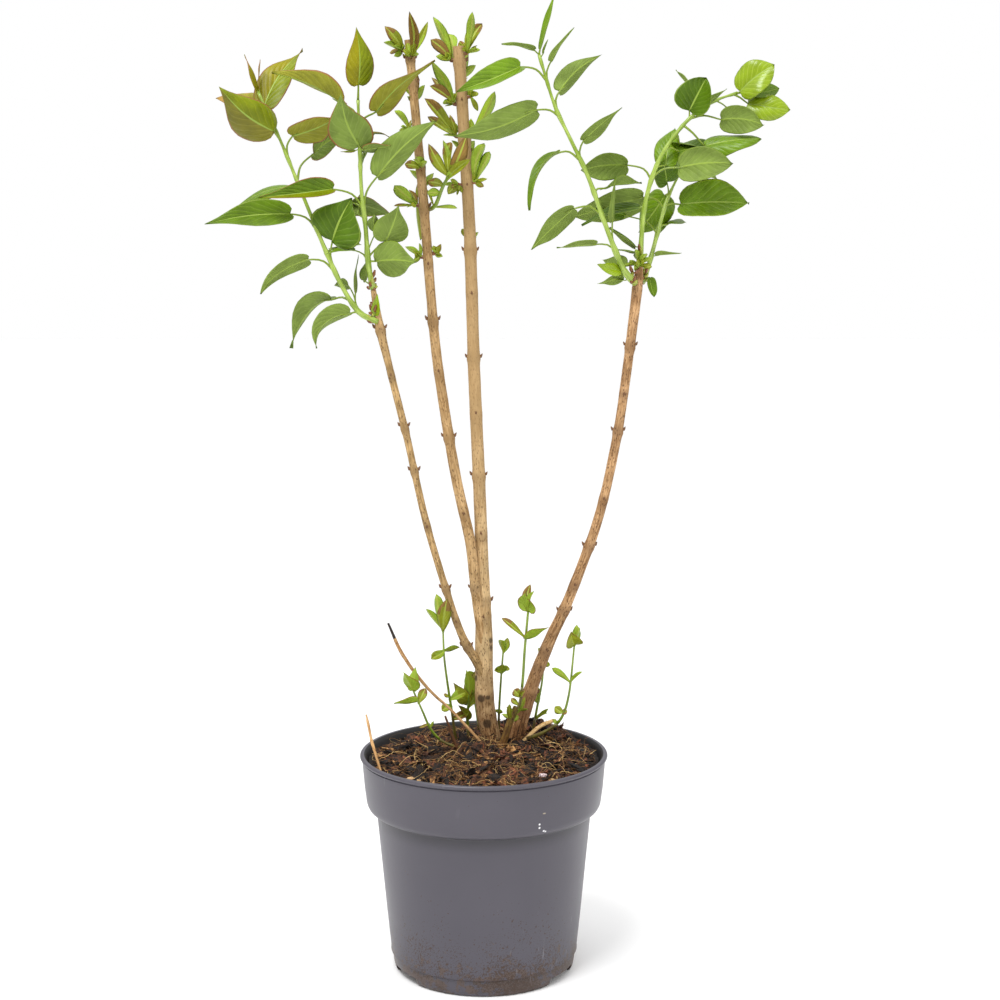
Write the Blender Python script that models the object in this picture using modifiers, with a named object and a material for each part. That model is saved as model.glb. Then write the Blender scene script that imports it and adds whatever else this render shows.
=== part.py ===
"""Potted lilac: a young multi-stemmed lilac in a round nursery pot of bark compost.

Four woody canes rise from one stool in the compost. Two of them carry leafy shoots, the other two
were cut short and are breaking into clusters of young leaves, and small suckers come up round
their feet. Metres, +Z up, the pot's underside at z = 0 and its axis on x = y = 0. Front is -Y.
Lengths in the tables below are in millimetres and angles in degrees.
"""

import math
import random

import bmesh
import bpy
from mathutils import Matrix, Vector
from mathutils.bvhtree import BVHTree

MM = 0.001
GAP = 0.3  # between pieces that touch

# The pot: a 23 cm injection-moulded nursery pot.
RIM_RADIUS = 115.0
RIM_HEIGHT = 204.5
WALL = 1.8
BAND_BOTTOM = 153.0
BAND_BOTTOM_RADIUS = 109.0
BODY_TOP_RADIUS = 98.5
BODY_BOTTOM_RADIUS = 86.0
FOOT_STEP = 17.0
FOOT_RADIUS = 80.0
FLOOR_HEIGHT = 12.0
PAD_RADIUS = 30.0
NOTCH_HEIGHT = 9.0
NOTCH_HALF_ANGLE = 11.5
NOTCHES_AT = (90, 210, 330)
DRAIN_RADIUS = 5.0
DRAINS_AT_RADIUS = 54.0
DRAINS = 6
TURNED_STEPS = 36

# The compost: level near the wall, mounded over the stool and higher still behind it on the right.
COMPOST_LEVEL = 192.5
GROUND = 205.0  # where every stem meets the compost
MOUNDS = ((12, 27, 60, 12.2), (50, 73, 40, 15.5))  # x, y, spread, height

# The woody canes, foot first: points (x, y, z) that the axis passes, and the diameter there.
NODE_EVERY = 46.0
NODE_SWELL = 1.13
CANES = {
    "main_stem": (
        ((8, 31, 190), 20), ((6, 31, 212), 18), ((1, 30, 240), 18), ((0, 28, 275), 17),
        ((0, 27, 304), 17), ((-1, 26, 343), 14), ((-3, 25, 419), 11.6), ((-6, 23, 494), 11.4),
        ((-9, 22, 567), 11.2), ((-11, 20, 640), 11), ((-14, 19, 715), 10.8), ((-22, 17, 847), 10.4),
    ),
    "left_centre_cane": (
        ((0, 24, 296), 9.5), ((-7, 21, 350), 10), ((-13, 18, 401), 9.8), ((-25, 15, 457), 9.4),
        ((-37, 11, 531), 9.2), ((-45, 9, 595), 8.8), ((-54, 8, 713), 8.6), ((-66, 4, 851), 7.6),
    ),
    "left_cane": (
        ((0, 23, 262), 8), ((-8, 17, 283), 9.5), ((-20, 13, 308), 8.2), ((-32, 9, 346), 7.2),
        ((-53, -1, 422), 6.8), ((-69, -7, 497), 6.4), ((-84, -10, 560), 6.4), ((-92, -12, 595), 8.4),
        ((-98, -14, 631), 4.8),
    ),
    "right_cane": (
        ((28, 32, 190), 16), ((32, 31, 214), 14), ((46, 28, 262), 12.6), ((62, 24, 305), 11),
        ((79, 18, 345), 9.8), ((105, 7, 421), 8.8), ((121, 0, 496), 8.4), ((131, -3, 569), 8.4),
        ((138, -6, 632), 9.6), ((140, -7, 652), 6),
    ),
}
RESTS_ON_STEM = ("left_centre_cane", "left_cane")

# Dead and cut wood: points (x, y, z) and diameters, as above.
SNAGS = {
    "dead_twig": (
        ((-12, 22, 200), 3), ((-30, 15, 239), 2.8), ((-53, 9, 263), 3), ((-75, 4, 295), 3.8), ((-88, -2, 326), 2.2),
    ),
    "rim_twig": (((-95, -15, 188), 4), ((-102, -17, 216), 4.6), ((-107, -18, 228), 3.4), ((-108, -18, 243), 2.4)),
    "brown_stub": (((14, 14, 196), 9), ((22, 12, 231), 8)),
    "cut_stub": (((38, 0, 196), 7), ((57, -12, 216), 5.5)),
    "small_stub": (((-30, 14, 198), 4), ((-40, 8, 228), 3.5)),
}

# Leafy shoots. Each has its stem's points (x, y, z), the diameters of its foot and tip, and its
# leaves. A leaf is: how far along the stem it sits, its stalk's angle and length, its blade's angle
# and how far that swings to the front, the blade's length and width, the way its upper side faces
# (0 front, 90 up, 180 back) and how far it bends over. Angles run from +X up towards +Z.
SHOOTS = {
    "left_outer_shoot": dict(
        on="left_cane",
        stem=((-94, -15, 603), (-111, -18, 612), (-127, -21, 638), (-144, -21, 677), (-159, -19, 714),
              (-176, -16, 756), (-184, -14, 774), (-198, -10, 804)),
        thick=(5.6, 2.2),
        leaves=(
            (0.74, 117, 23, 137, 28, 63, 40, 8, 10),
            (0.99, 116, 4, 108, 0, 33, 9, 70, 15),
            (0.99, 92, 5, 89, -12, 27, 8, 70, 10),
            (0.84, 118, 24, 57, -24, 68, 30, 25, 15),
            (0.87, 120, 18, 168, -35, 60, 26, 50, 15),
            (0.72, 78, 21, 22, 20, 46, 32, 132, 12),
            (0.63, 62, 30, 33, -40, 48, 24, 140, 10),
            (0.60, 168, 10, 202, -20, 66, 22, 60, 30),
            (0.44, 151, 26, 188, 18, 76, 28, 22, 8),
            (0.25, 152, 28, 216, 22, 60, 19, 140, 90),
            (0.12, 170, 21, 227, -22, 71, 27, 130, 88),
            (0.05, 171, 15, 229, 25, 53, 23, 130, 100),
            (0.27, 93, 25, 64, 8, 42, 50, 14, 10),
            (0.07, 108, 20, 84, -14, 34, 12, 90, 10),
            (0.09, 112, 26, 184, -45, 20, 12, 150, 0),
            (0.02, 66, 4, 84, 14, 20, 10, 0, 6),
            (0.34, 20, 12, 15, -64, 44, 26, 95, 20),
        ),
    ),
    "left_upright_shoot": dict(
        on="left_cane",
        stem=((-98.5, -14, 632), (-102, -18, 656), (-104, -21, 689), (-107, -23, 719),
              (-108, -25, 760), (-109, -25, 796)),
        thick=(5.8, 2.6),
        leaves=(
            (1.00, 88, 13, 93, 8, 49, 26, 8, 12),
            (0.90, 137, 20, 158, -6, 68, 31, 118, 20),
            (0.73, 96, 5, 103, 38, 55, 38, 176, 10),
            (0.87, 37, 19, 37, 18, 71, 31, 122, 14),
            (0.43, 66, 31, 39, 16, 74, 32, 165, 6),
            (0.74, 180, 4, 184, 0, 13, 5, 60, 0),
            (0.74, 5, 4, 8, 30, 28, 14, 130, 24),
            (0.82, 20, 5, 351, -22, 25, 9, 95, 44),
            (0.43, 147, 32, 187, 14, 66, 25, 28, 8),
            (0.43, 150, 12, 342, -34, 46, 30, 140, 40),
            (0.17, 42, 23, 68, 26, 36, 32, 165, 10),
            (0.14, 16, 8, 356, 40, 48, 34, 158, 22),
            (0.14, 134, 17, 188, 36, 30, 13, 60, 20),
            (0.20, 66, 21, 88, 34, 18, 14, 170, 24),
            (0.38, 150, 7, 82, -20, 22, 13, 170, 10),
            (0.02, 150, 9, 80, -24, 22, 11, 150, 10),
            (0.66, 80, 14, 70, -64, 50, 30, 95, 20),
        ),
    ),
    "right_left_shoot": dict(
        on="right_cane",
        stem=((136, -12, 637), (127, -18, 646), (118, -25, 663), (106, -29, 693), (92, -32, 730),
              (76, -32, 763), (63, -31, 790), (53, -30, 821), (49, -30, 834)),
        thick=(6.4, 2.2),
        leaves=(
            (0.99, 90, 8, 76, 4, 46, 10, 60, 6),
            (0.97, 120, 12, 172, 14, 30, 11, 110, 14),
            (0.89, 81, 18, 53, 14, 35, 10, 112, 6),
            (0.77, 83, 18, 38, -20, 53, 22, 168, 6),
            (0.89, 152, 27, 202, 18, 63, 28, 28, 12),
            (0.74, 162, 22, 196, 16, 79, 31, 150, 8),
            (0.54, 88, 20, 40, 18, 45, 16, 150, 12),
            (0.55, 160, 22, 243, 16, 62, 17, 60, 68),
            (0.32, 166, 26, 222, 14, 56, 22, 150, 70),
            (0.17, 160, 18, 186, 10, 36, 12, 118, 0),
            (0.98, 70, 6, 71, 20, 13, 4, 90, 0),
            (0.16, 99, 28, 86, 14, 40, 12, 118, 10),
            (0.06, 151, 6, 165, 25, 25, 13, 30, 0),
            (0.04, 165, 6, 196, -16, 25, 11, 150, 20),
            (0.05, 110, 9, 160, -40, 26, 20, 160, 0),
            (0.02, 178, 7, 176, 0, 14, 3, 90, 0),
            (0.42, 20, 12, 10, -40, 46, 26, 95, 20),
        ),
    ),
    "right_middle_shoot": dict(
        on="right_cane",
        stem=((140.3, -7, 653), (141, -7, 672), (144, -8, 706), (152, -9, 736),
              (164, -9, 759), (183, -9, 782), (205, -8, 797), (225, -6, 804)),
        thick=(5.6, 2.2),
        leaves=(
            (0.98, 23, 6, 38, 10, 38, 33, 30, 30),
            (1.00, 357, 13, 14, -12, 26, 17, 40, 20),
            (0.98, 328, 15, 352, 12, 38, 25, 24, 14),
            (0.74, 358, 28, 349, 26, 40, 27, 150, 28),
            (0.70, 316, 26, 6, 16, 50, 28, 38, 12),
            (0.74, 92, 7, 64, 10, 32, 40, 10, 8),
            (0.80, 112, 24, 125, -26, 22, 9, 100, 8),
            (0.47, 10, 9, 72, -30, 40, 24, 16, 8),
            (0.42, 19, 25, 3, 22, 48, 32, 172, 8),
            (0.57, 345, 12, 0, -14, 40, 25, 58, 20),
            (0.40, 148, 26, 188, 8, 42, 28, 162, 24),
            (0.89, 329, 14, 354, 4, 20, 12, 118, 30),
            (0.75, 49, 13, 32, 16, 27, 9, 140, 0),
            (0.27, 175, 5, 197, -8, 54, 19, 58, 22),
            (0.08, 160, 5, 145, -20, 30, 15, 108, 10),
            (0.06, 180, 4, 172, 16, 21, 11, 100, 12),
            (0.64, 300, 9, 352, -64, 42, 26, 95, 20),
        ),
    ),
    "right_outer_shoot": dict(
        on="right_cane",
        stem=((143, -3, 638), (147, 1, 647), (151, 5, 660), (157, 12, 681), (162, 17, 698),
              (165, 20, 708), (170, 23, 720), (178, 26, 736)),
        thick=(5.4, 2.4),
        leaves=(
            (0.69, 7, 14, 359, 14, 62, 40, 22, 14),
            (0.80, 190, 4, 236, -26, 44, 32, 18, 8),
            (0.22, 35, 5, 5, 14, 24, 8, 110, 0),
            (0.02, 20, 6, 285, 12, 18, 11, 30, 10),
            (0.66, 150, 22, 195, -4, 64, 32, 150, 8),
            (0.44, 150, 34, 165, -14, 27, 20, 60, 10),
            (0.76, 95, 15, 104, 30, 28, 25, 0, 40),
            (1.00, 60, 4, 66, -56, 44, 24, 60, 10),
            (1.00, 10, 5, 350, -24, 36, 20, 90, 14),
            (0.50, 20, 10, 20, -66, 46, 28, 95, 20),
        ),
    ),
}
FOOT_SCALES = 4  # bud scales round each shoot's foot

# Clusters of young leaves at the nodes of the two cut canes: the height of the node, the way the
# cluster leans out of the cane in plan, and its leaflets as (angle, length, width).
CLUSTERS = {
    "main_stem": (
        (836, 175, (113, 41, 9), (98, 31, 9), (139, 27, 8), (165, 15, 5), (128, 22, 3)),
        (840, 350, (84, 39, 8), (62, 32, 12), (8, 14, 4), (120, 14, 6)),
        (797, 178, (119, 44, 10), (130, 34, 5), (146, 27, 9), (88, 12, 6), (178, 11, 5)),
        (802, 350, (60, 18, 9), (300, 16, 4), (110, 6, 3), (70, 14, 5)),
        (768, 178, (130, 46, 11), (142, 38, 8), (105, 21, 5), (88, 12, 3), (175, 12, 2.5)),
        (771, 352, (62, 46, 9), (340, 17, 4), (95, 13, 5)),
        (727, 340, (73, 42, 9), (85, 33, 7), (64, 35, 7), (58, 24, 10), (12, 15, 3), (335, 9, 4)),
        (726, 200, (222, 14, 8), (178, 14, 6), (200, 8, 4)),
        (820, 80, (80, 30, 8), (110, 24, 7), (45, 18, 6)),
        (750, 95, (96, 34, 9), (60, 24, 7), (130, 20, 6)),
        (676, 85, (88, 20, 7), (50, 14, 5), (128, 14, 5)),
    ),
    "left_centre_cane": (
        (842, 180, (130, 27, 8), (120, 24, 7), (158, 18, 7), (188, 14, 4), (215, 10, 4)),
        (835, 275, (92, 46, 10), (64, 34, 6), (10, 10, 4), (140, 9, 4)),
        (772, 180, (128, 24, 7), (84, 12, 3), (172, 11, 2.5)),
        (739, 275, (108, 14, 9), (168, 15, 6), (48, 12, 5), (80, 8, 4)),
        (705, 182, (137, 30, 9), (88, 21, 3), (182, 22, 3.5), (276, 34, 13), (118, 16, 5)),
        (660, 180, (148, 17, 5), (96, 14, 5), (214, 8, 4)),
        (664, 0, (58, 12, 4), (340, 8, 4)),
        (800, 95, (92, 30, 8), (60, 22, 6), (125, 20, 6)),
        (724, 90, (88, 26, 7), (52, 20, 6), (132, 18, 6)),
    ),
}
STUB = 2.4  # how far a cluster's stub reaches from the bark
STUB_THICK = 4.4

# Sprigs: small leafy stems, on a cane or straight out of the compost. Each has its stem's points,
# its diameters, and its leaflets as (along, angle, length, width).
SPRIGS = {
    "cane_sprig": dict(
        on="left_centre_cane",
        stem=((-49, 8, 703), (-43, 3, 706), (-36, -6, 722), (-30, -12, 732)),
        thick=(5, 3),
        leaves=((0.98, 120, 34, 8), (0.94, 98, 36, 7), (0.9, 66, 44, 10), (1, 87, 36, 9), (0.84, 38, 34, 9),
                (0.7, 165, 16, 8), (0.5, 176, 12, 7), (0.15, 112, 18, 2.5), (0.1, 358, 24, 4)),
    ),
    "sucker_1": dict(
        on=None,
        stem=((-26, 10, 196), (-36, 1, 212), (-47, -4, 226), (-57, -6, 245), (-65, -8, 264)),
        thick=(3.4, 2),
        leaves=((1, 112, 26, 17), (1, 86, 22, 14), (0.86, 178, 24, 12), (0.84, 62, 16, 7),
                (0.55, 196, 10, 2.5), (0.5, 60, 7, 3)),
    ),
    "sucker_2": dict(
        on=None,
        stem=((-26, 34, 198), (-30, 28, 232), (-34, 21, 262), (-37, 15, 290), (-38, 13, 316)),
        thick=(3.4, 2),
        leaves=((1, 122, 30, 7), (1, 100, 36, 10), (1, 82, 36, 10), (1, 70, 26, 6), (0.84, 206, 16, 9),
                (0.84, 8, 16, 8), (0.45, 150, 7, 3), (0.42, 20, 18, 9), (0.36, 200, 10, 8)),
    ),
    "sucker_3": dict(
        on=None,
        stem=((-14, 44, 196), (-16, 42, 222), (-15, 40, 240), (-14, 39, 250)),
        thick=(4.2, 2.4),
        leaves=((1, 98, 30, 14), (0.96, 74, 24, 12), (0.88, 148, 20, 12), (0.84, 130, 24, 13),
                (0.66, 196, 20, 9), (0.9, 40, 14, 7), (0.5, 118, 22, 12), (0.74, 58, 20, 8)),
    ),
    "sucker_4": dict(
        on=None,
        stem=((14, 50, 196), (14, 50, 226), (16, 48, 262), (18, 46, 288)),
        thick=(3.2, 2),
        leaves=((1, 98, 15, 7), (1, 74, 15, 6), (0.8, 168, 8, 5), (0.8, 12, 9, 6), (0.78, 80, 12, 8),
                (0.35, 150, 5, 4), (0.35, 20, 4, 4)),
    ),
    "sucker_5": dict(
        on=None,
        stem=((26, 12, 196), (33, 10, 238), (36, 8, 268), (38, 6, 300), (41, 4, 336)),
        thick=(7.5, 2.2),
        leaves=((1, 96, 22, 24), (1, 82, 28, 8), (1, 76, 27, 6), (0.76, 142, 30, 6), (0.76, 32, 30, 12),
                (0.34, 134, 8, 7), (0.34, 60, 10, 5), (0.22, 140, 9, 4), (0.2, 12, 9, 4), (0.12, 40, 9, 4)),
    ),
    "sucker_6": dict(
        on=None,
        stem=((44, 44, 196), (50, 46, 232), (55, 48, 258), (57, 48, 282)),
        thick=(3.4, 1.8),
        leaves=((1, 120, 14, 7), (1, 75, 13, 7), (0.92, 10, 8, 4), (0.5, 110, 10, 6), (0.3, 50, 22, 4),
                (0.3, 22, 16, 4), (0.6, 140, 10, 6)),
    ),
    "sucker_7": dict(
        on=None,
        stem=((44, 14, 204), (58, 10, 214), (71, 8, 230), (79, 6, 256), (84, 5, 304)),
        thick=(4.4, 2),
        leaves=((1, 102, 18, 18), (1, 84, 20, 7), (1, 74, 19, 7), (0.68, 148, 24, 5), (0.68, 52, 20, 5),
                (0.42, 150, 10, 6), (0.42, 20, 5, 5), (0.3, 122, 5, 3), (0.3, 40, 6, 3)),
    ),
    "sucker_8": dict(
        on=None,
        stem=((-4, 66, 196), (-8, 70, 226), (-12, 74, 248)),
        thick=(3.2, 2),
        leaves=((1, 100, 18, 8), (1, 76, 16, 7), (0.7, 160, 14, 8), (0.7, 18, 14, 8)),
    ),
}

# How a leaf is made.
LEAF_THICK = 0.75
LEAF_THICKNESS_SHARE = 0.013
LEAF_STATIONS = (0.0, 0.12, 0.38, 0.72, 1.0)
LEAF_FOLD = 24
LEAFLET_FOLD = 34
STALK_THICK = 1.9
SCATTER = 5  # seeded scatter of each leaf's angles


# ---------------------------------------------------------------- scene and materials

for old in list(bpy.data.objects):
    bpy.data.objects.remove(old, do_unlink=True)

plant = bpy.data.collections.new("potted_lilac")
cutters = bpy.data.collections.new("cutters")
for collection in (plant, cutters):
    bpy.context.scene.collection.children.link(collection)


def material(name, colour, roughness):
    made = bpy.data.materials.new(name)
    made.use_nodes = True
    shader = made.node_tree.nodes["Principled BSDF"]
    shader.inputs["Base Color"].default_value = (*colour, 1)
    shader.inputs["Roughness"].default_value = roughness
    shader.inputs["Metallic"].default_value = 0
    return made


POT = material("pot_plastic", (0.075, 0.062, 0.072), 0.42)
COMPOST = material("bark_compost", (0.085, 0.042, 0.024), 0.95)
BARK = material("cane_bark", (0.36, 0.235, 0.135), 0.8)
DEAD = material("dead_wood", (0.5, 0.33, 0.2), 0.85)
LEAF = material("leaf", (0.16, 0.25, 0.035), 0.5)
YOUNG = material("young_leaf", (0.27, 0.3, 0.05), 0.5)


def place(name, mesh, surface, collection=plant):
    """A new object of this mesh, in the plant's collection."""
    made = bpy.data.objects.new(name, mesh)
    mesh.materials.clear()
    mesh.materials.append(surface)
    collection.objects.link(made)
    return made


def mesh_from(bm, name):
    bmesh.ops.recalc_face_normals(bm, faces=bm.faces)
    mesh = bpy.data.meshes.new(name)
    bm.to_mesh(mesh)
    bm.free()
    return mesh


def cutter(name, mesh):
    made = place(name, mesh, BARK, cutters)
    made.hide_render = True
    made.display_type = "WIRE"
    return made


def cut(target, tool, operation="DIFFERENCE", solver="EXACT"):
    boolean = target.modifiers.new(operation.title(), "BOOLEAN")
    boolean.operation = operation
    boolean.object = tool
    boolean.solver = solver
    return boolean


def settled(target, flat_faces=True):
    """Gives the object the one clean body that its modifiers make."""
    bpy.context.view_layer.update()
    graph = bpy.context.evaluated_depsgraph_get()
    mesh = bpy.data.meshes.new_from_object(target.evaluated_get(graph))
    target.modifiers.clear()
    target.data = mesh
    keep_largest_body(mesh, flat_faces)
    return target


def keep_largest_body(mesh, flat_faces):
    """Drops loose scraps that a Boolean leaves beside the body and, if told to, merges level faces."""
    bm = bmesh.new()
    bm.from_mesh(mesh)
    unseen = set(bm.verts)
    bodies = []
    while unseen:
        found = [unseen.pop()]
        for vert in found:
            for edge in vert.link_edges:
                other = edge.other_vert(vert)
                if other in unseen:
                    unseen.remove(other)
                    found.append(other)
        bodies.append(found)
    bodies.sort(key=len)
    scraps = [vert for body in bodies[:-1] for vert in body]
    bmesh.ops.delete(bm, geom=scraps, context="VERTS")
    if flat_faces:
        bmesh.ops.dissolve_limit(bm, angle_limit=math.radians(1), verts=bm.verts, edges=bm.edges)
        bmesh.ops.triangulate(bm, faces=bm.faces)
    bm.to_mesh(mesh)
    bm.free()


# ---------------------------------------------------------------- pot and compost

def turned(name, profile, surface):
    """A turned solid: the closed or axis-to-axis profile of (radius, height) spun about Z."""
    bm = bmesh.new()
    verts = [bm.verts.new((radius * MM, 0, height * MM)) for radius, height in profile]
    for a, b in zip(verts, verts[1:]):
        bm.edges.new((a, b))
    mesh = bpy.data.meshes.new(name)
    bm.to_mesh(mesh)
    bm.free()
    made = place(name, mesh, surface)
    screw = made.modifiers.new("Turn", "SCREW")
    screw.steps = screw.render_steps = TURNED_STEPS
    screw.use_merge_vertices = True
    screw.merge_threshold = 0.0001
    return made


def inner_radius(height):
    """The pot wall's inner radius at a height above its foot."""
    if height >= BAND_BOTTOM:
        share = (height - BAND_BOTTOM) / (RIM_HEIGHT - BAND_BOTTOM)
        return BODY_TOP_RADIUS - WALL + share * (RIM_RADIUS - 3.4 - BODY_TOP_RADIUS)
    share = (height - FOOT_STEP) / (BAND_BOTTOM - FOOT_STEP)
    return BODY_BOTTOM_RADIUS - WALL + share * (BODY_TOP_RADIUS - BODY_BOTTOM_RADIUS)


LIP = RIM_RADIUS
outer = (
    (LIP - 2.4, RIM_HEIGHT), (LIP - 0.4, RIM_HEIGHT - 1.4), (LIP, RIM_HEIGHT - 4), (LIP - 0.8, RIM_HEIGHT - 6.6),
    (LIP - 3, RIM_HEIGHT - 8), (BAND_BOTTOM_RADIUS, BAND_BOTTOM + 4), (BAND_BOTTOM_RADIUS - 3, BAND_BOTTOM),
    (BODY_TOP_RADIUS, BAND_BOTTOM - 2), (BODY_BOTTOM_RADIUS, FOOT_STEP),
    (FOOT_RADIUS + 1.2, FOOT_STEP - 1.5), (FOOT_RADIUS, 0),
)
under = (
    (FOOT_RADIUS - 2.6, 0), (FOOT_RADIUS - 2.2, FLOOR_HEIGHT), (PAD_RADIUS + 6, FLOOR_HEIGHT),
    (PAD_RADIUS, 0), (0, 0),
)
inside = (
    (0, WALL), (PAD_RADIUS - 1.2, WALL), (PAD_RADIUS + 4.8, FLOOR_HEIGHT + WALL),
    (FOOT_RADIUS - 2, FLOOR_HEIGHT + WALL), (inner_radius(FOOT_STEP + 3), FOOT_STEP + 3),
    (inner_radius(BAND_BOTTOM - 2), BAND_BOTTOM - 2),
    (inner_radius(BAND_BOTTOM), BAND_BOTTOM), (inner_radius(RIM_HEIGHT - 1), RIM_HEIGHT - 1),
    (LIP - 4.6, RIM_HEIGHT),
)
pot = turned("pot", outer + under + inside + outer[:1], POT)

for index, angle in enumerate(NOTCHES_AT):
    half_width = FOOT_RADIUS * math.sin(math.radians(NOTCH_HALF_ANGLE)) * MM
    bm = bmesh.new()
    bmesh.ops.create_cube(bm, size=1)
    for vert in bm.verts:
        top = vert.co.z > 0
        vert.co = (
            (FOOT_RADIUS - 12 + 24 * (vert.co.x > 0)) * MM,
            math.copysign(half_width - (4 * MM if top else 0), vert.co.y),
            NOTCH_HEIGHT * MM if top else -4 * MM,
        )
    bmesh.ops.rotate(bm, verts=bm.verts, matrix=Matrix.Rotation(math.radians(angle), 3, "Z"))
    cut(pot, cutter(f"notch_{index}", mesh_from(bm, "notch")))

for index in range(DRAINS):
    angle = 2 * math.pi * (index + 0.5) / DRAINS
    bm = bmesh.new()
    bmesh.ops.create_cone(bm, cap_ends=True, segments=8, radius1=DRAIN_RADIUS * MM,
                          radius2=DRAIN_RADIUS * MM, depth=12 * MM)
    drain = cutter(f"drain_{index}", mesh_from(bm, "drain"))
    drain.location = (DRAINS_AT_RADIUS * MM * math.cos(angle), DRAINS_AT_RADIUS * MM * math.sin(angle),
                      (FLOOR_HEIGHT + WALL / 2) * MM)
    cut(pot, drain)


def compost_height(x, y):
    """The compost's surface, in millimetres, at a point in plan."""
    height = COMPOST_LEVEL
    rise = 0
    for centre_x, centre_y, spread, peak in MOUNDS:
        distance = math.hypot(x - centre_x, y - centre_y) / spread
        rise = max(rise, min(1.35 * peak * math.exp(-(distance**2)), peak))
    wave = 0.5 * math.sin(0.11 * x + 0.7) * math.cos(0.13 * y)
    edge = max(0, math.hypot(x, y) - 80) / 32
    return height + rise * (1 - 0.35 * edge) + wave * (1 - min(1, rise / 10))


COMPOST_RINGS = (0, 20, 38, 56, 74, 92)
bottom = FLOOR_HEIGHT + WALL + GAP
surface_radius = inner_radius(COMPOST_LEVEL) - 2 * GAP
compost = turned(
    "compost",
    ((0, COMPOST_LEVEL),) + tuple((radius, COMPOST_LEVEL) for radius in COMPOST_RINGS[1:])
    + ((surface_radius, COMPOST_LEVEL), (inner_radius(BAND_BOTTOM) - 2 * GAP, BAND_BOTTOM),
       (inner_radius(FOOT_STEP + 3) - 2 * GAP, FOOT_STEP + 3 + GAP), (FOOT_RADIUS - 2 - 2 * GAP, bottom),
       (0, bottom)),
    COMPOST,
)
settled(compost, flat_faces=False)
for vert in compost.data.vertices:
    x, y, z = (value / MM for value in vert.co)
    if z > COMPOST_LEVEL - 1:
        vert.co.z = compost_height(x, y) * MM
bm = bmesh.new()
bm.from_mesh(compost.data)
bmesh.ops.triangulate(bm, faces=bm.faces)
bm.to_mesh(compost.data)
bm.free()
compost_surface = BVHTree.FromPolygons([vert.co for vert in compost.data.vertices],
                                       [face.vertices for face in compost.data.polygons])


def foot_height(path):
    """Where a leaning stem's flat foot sits, just clear of the compost's faces under it."""
    height = COMPOST_LEVEL
    for _ in range(4):
        before, after = next(pair for pair in zip(path, path[1:]) if pair[1][0].z >= height)
        share = max(0, (height - before[0].z) / (after[0].z - before[0].z))
        x, y, _ = before[0].lerp(after[0], share)
        slope = (after[0] - before[0]).normalized().z
        radius = before[1] / 2 / slope + 0.2
        around = [(radius * math.cos(math.tau * step / 12), radius * math.sin(math.tau * step / 12))
                  for step in range(12)]
        tops = [compost_surface.ray_cast(Vector(((x + dx) * MM, (y + dy) * MM, 1)), Vector((0, 0, -1)))[0].z
                for dx, dy in around]
        height = max(tops) / MM + GAP
    return height


# ---------------------------------------------------------------- limbs

def smooth_path(points, spacing):
    """Points of a Catmull-Rom curve through (point, size) pairs, about this far apart."""
    points = [(Vector(point), size) for point, size in points]
    ends = [(2 * points[0][0] - points[1][0], points[0][1])], [(2 * points[-1][0] - points[-2][0], points[-1][1])]
    run = ends[0] + points + ends[1]
    out = []
    for before, start, stop, after in zip(run, run[1:], run[2:], run[3:]):
        steps = max(1, round((stop[0] - start[0]).length / spacing))
        for step in range(steps):
            t = step / steps
            point = 0.5 * (
                2 * start[0] + (stop[0] - before[0]) * t
                + (2 * before[0] - 5 * start[0] + 4 * stop[0] - after[0]) * t**2
                + (3 * start[0] - before[0] - 3 * stop[0] + after[0]) * t**3
            )
            out.append((point, start[1] + (stop[1] - start[1]) * t))
    return out + [points[-1]]


def limb_mesh(path, name, resolution=3, wider=0.0):
    """A closed round limb along (point, diameter) pairs, as a curve's bevel made into a mesh."""
    curve = bpy.data.curves.new(name, "CURVE")
    curve.dimensions = "3D"
    curve.bevel_depth = 1.0
    curve.bevel_resolution = resolution
    curve.use_fill_caps = True
    spline = curve.splines.new("POLY")
    spline.points.add(len(path) - 1)
    for target, (point, size) in zip(spline.points, path):
        target.co = (*(point * MM), 1)
        target.radius = (size / 2 + wider) * MM
    holder = bpy.data.objects.new(name, curve)
    plant.objects.link(holder)
    bpy.context.view_layer.update()
    mesh = bpy.data.meshes.new_from_object(holder.evaluated_get(bpy.context.evaluated_depsgraph_get()))
    bpy.data.objects.remove(holder)
    bpy.data.curves.remove(curve)
    bm = bmesh.new()
    bm.from_mesh(mesh)
    bmesh.ops.remove_doubles(bm, verts=bm.verts, dist=1e-6)
    bpy.data.meshes.remove(mesh)
    return mesh_from(bm, name)


def cut_level(mesh, height):
    """Cuts the mesh flat at a height and closes it there, keeping what is above."""
    bm = bmesh.new()
    bm.from_mesh(mesh)
    made = bmesh.ops.bisect_plane(bm, geom=bm.verts[:] + bm.edges[:] + bm.faces[:], dist=1e-7,
                                  plane_co=(0, 0, height * MM), plane_no=(0, 0, 1), clear_inner=True)
    rim = [item for item in made["geom_cut"] if isinstance(item, bmesh.types.BMEdge)]
    bmesh.ops.contextual_create(bm, geom=rim)
    bmesh.ops.recalc_face_normals(bm, faces=bm.faces)
    bm.to_mesh(mesh)
    bm.free()


def with_nodes(path):
    """Swells a cane's path in a ring at each node."""
    run, out = 0.0, [path[0]]
    for (before, _), (point, size) in zip(path, path[1:]):
        run += (point - before).length
        nearest = abs((run / NODE_EVERY) % 1 - 0.5)
        out.append((point, size * (1 + (NODE_SWELL - 1) * max(0, 1 - 4 * nearest))))
    return out


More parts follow.
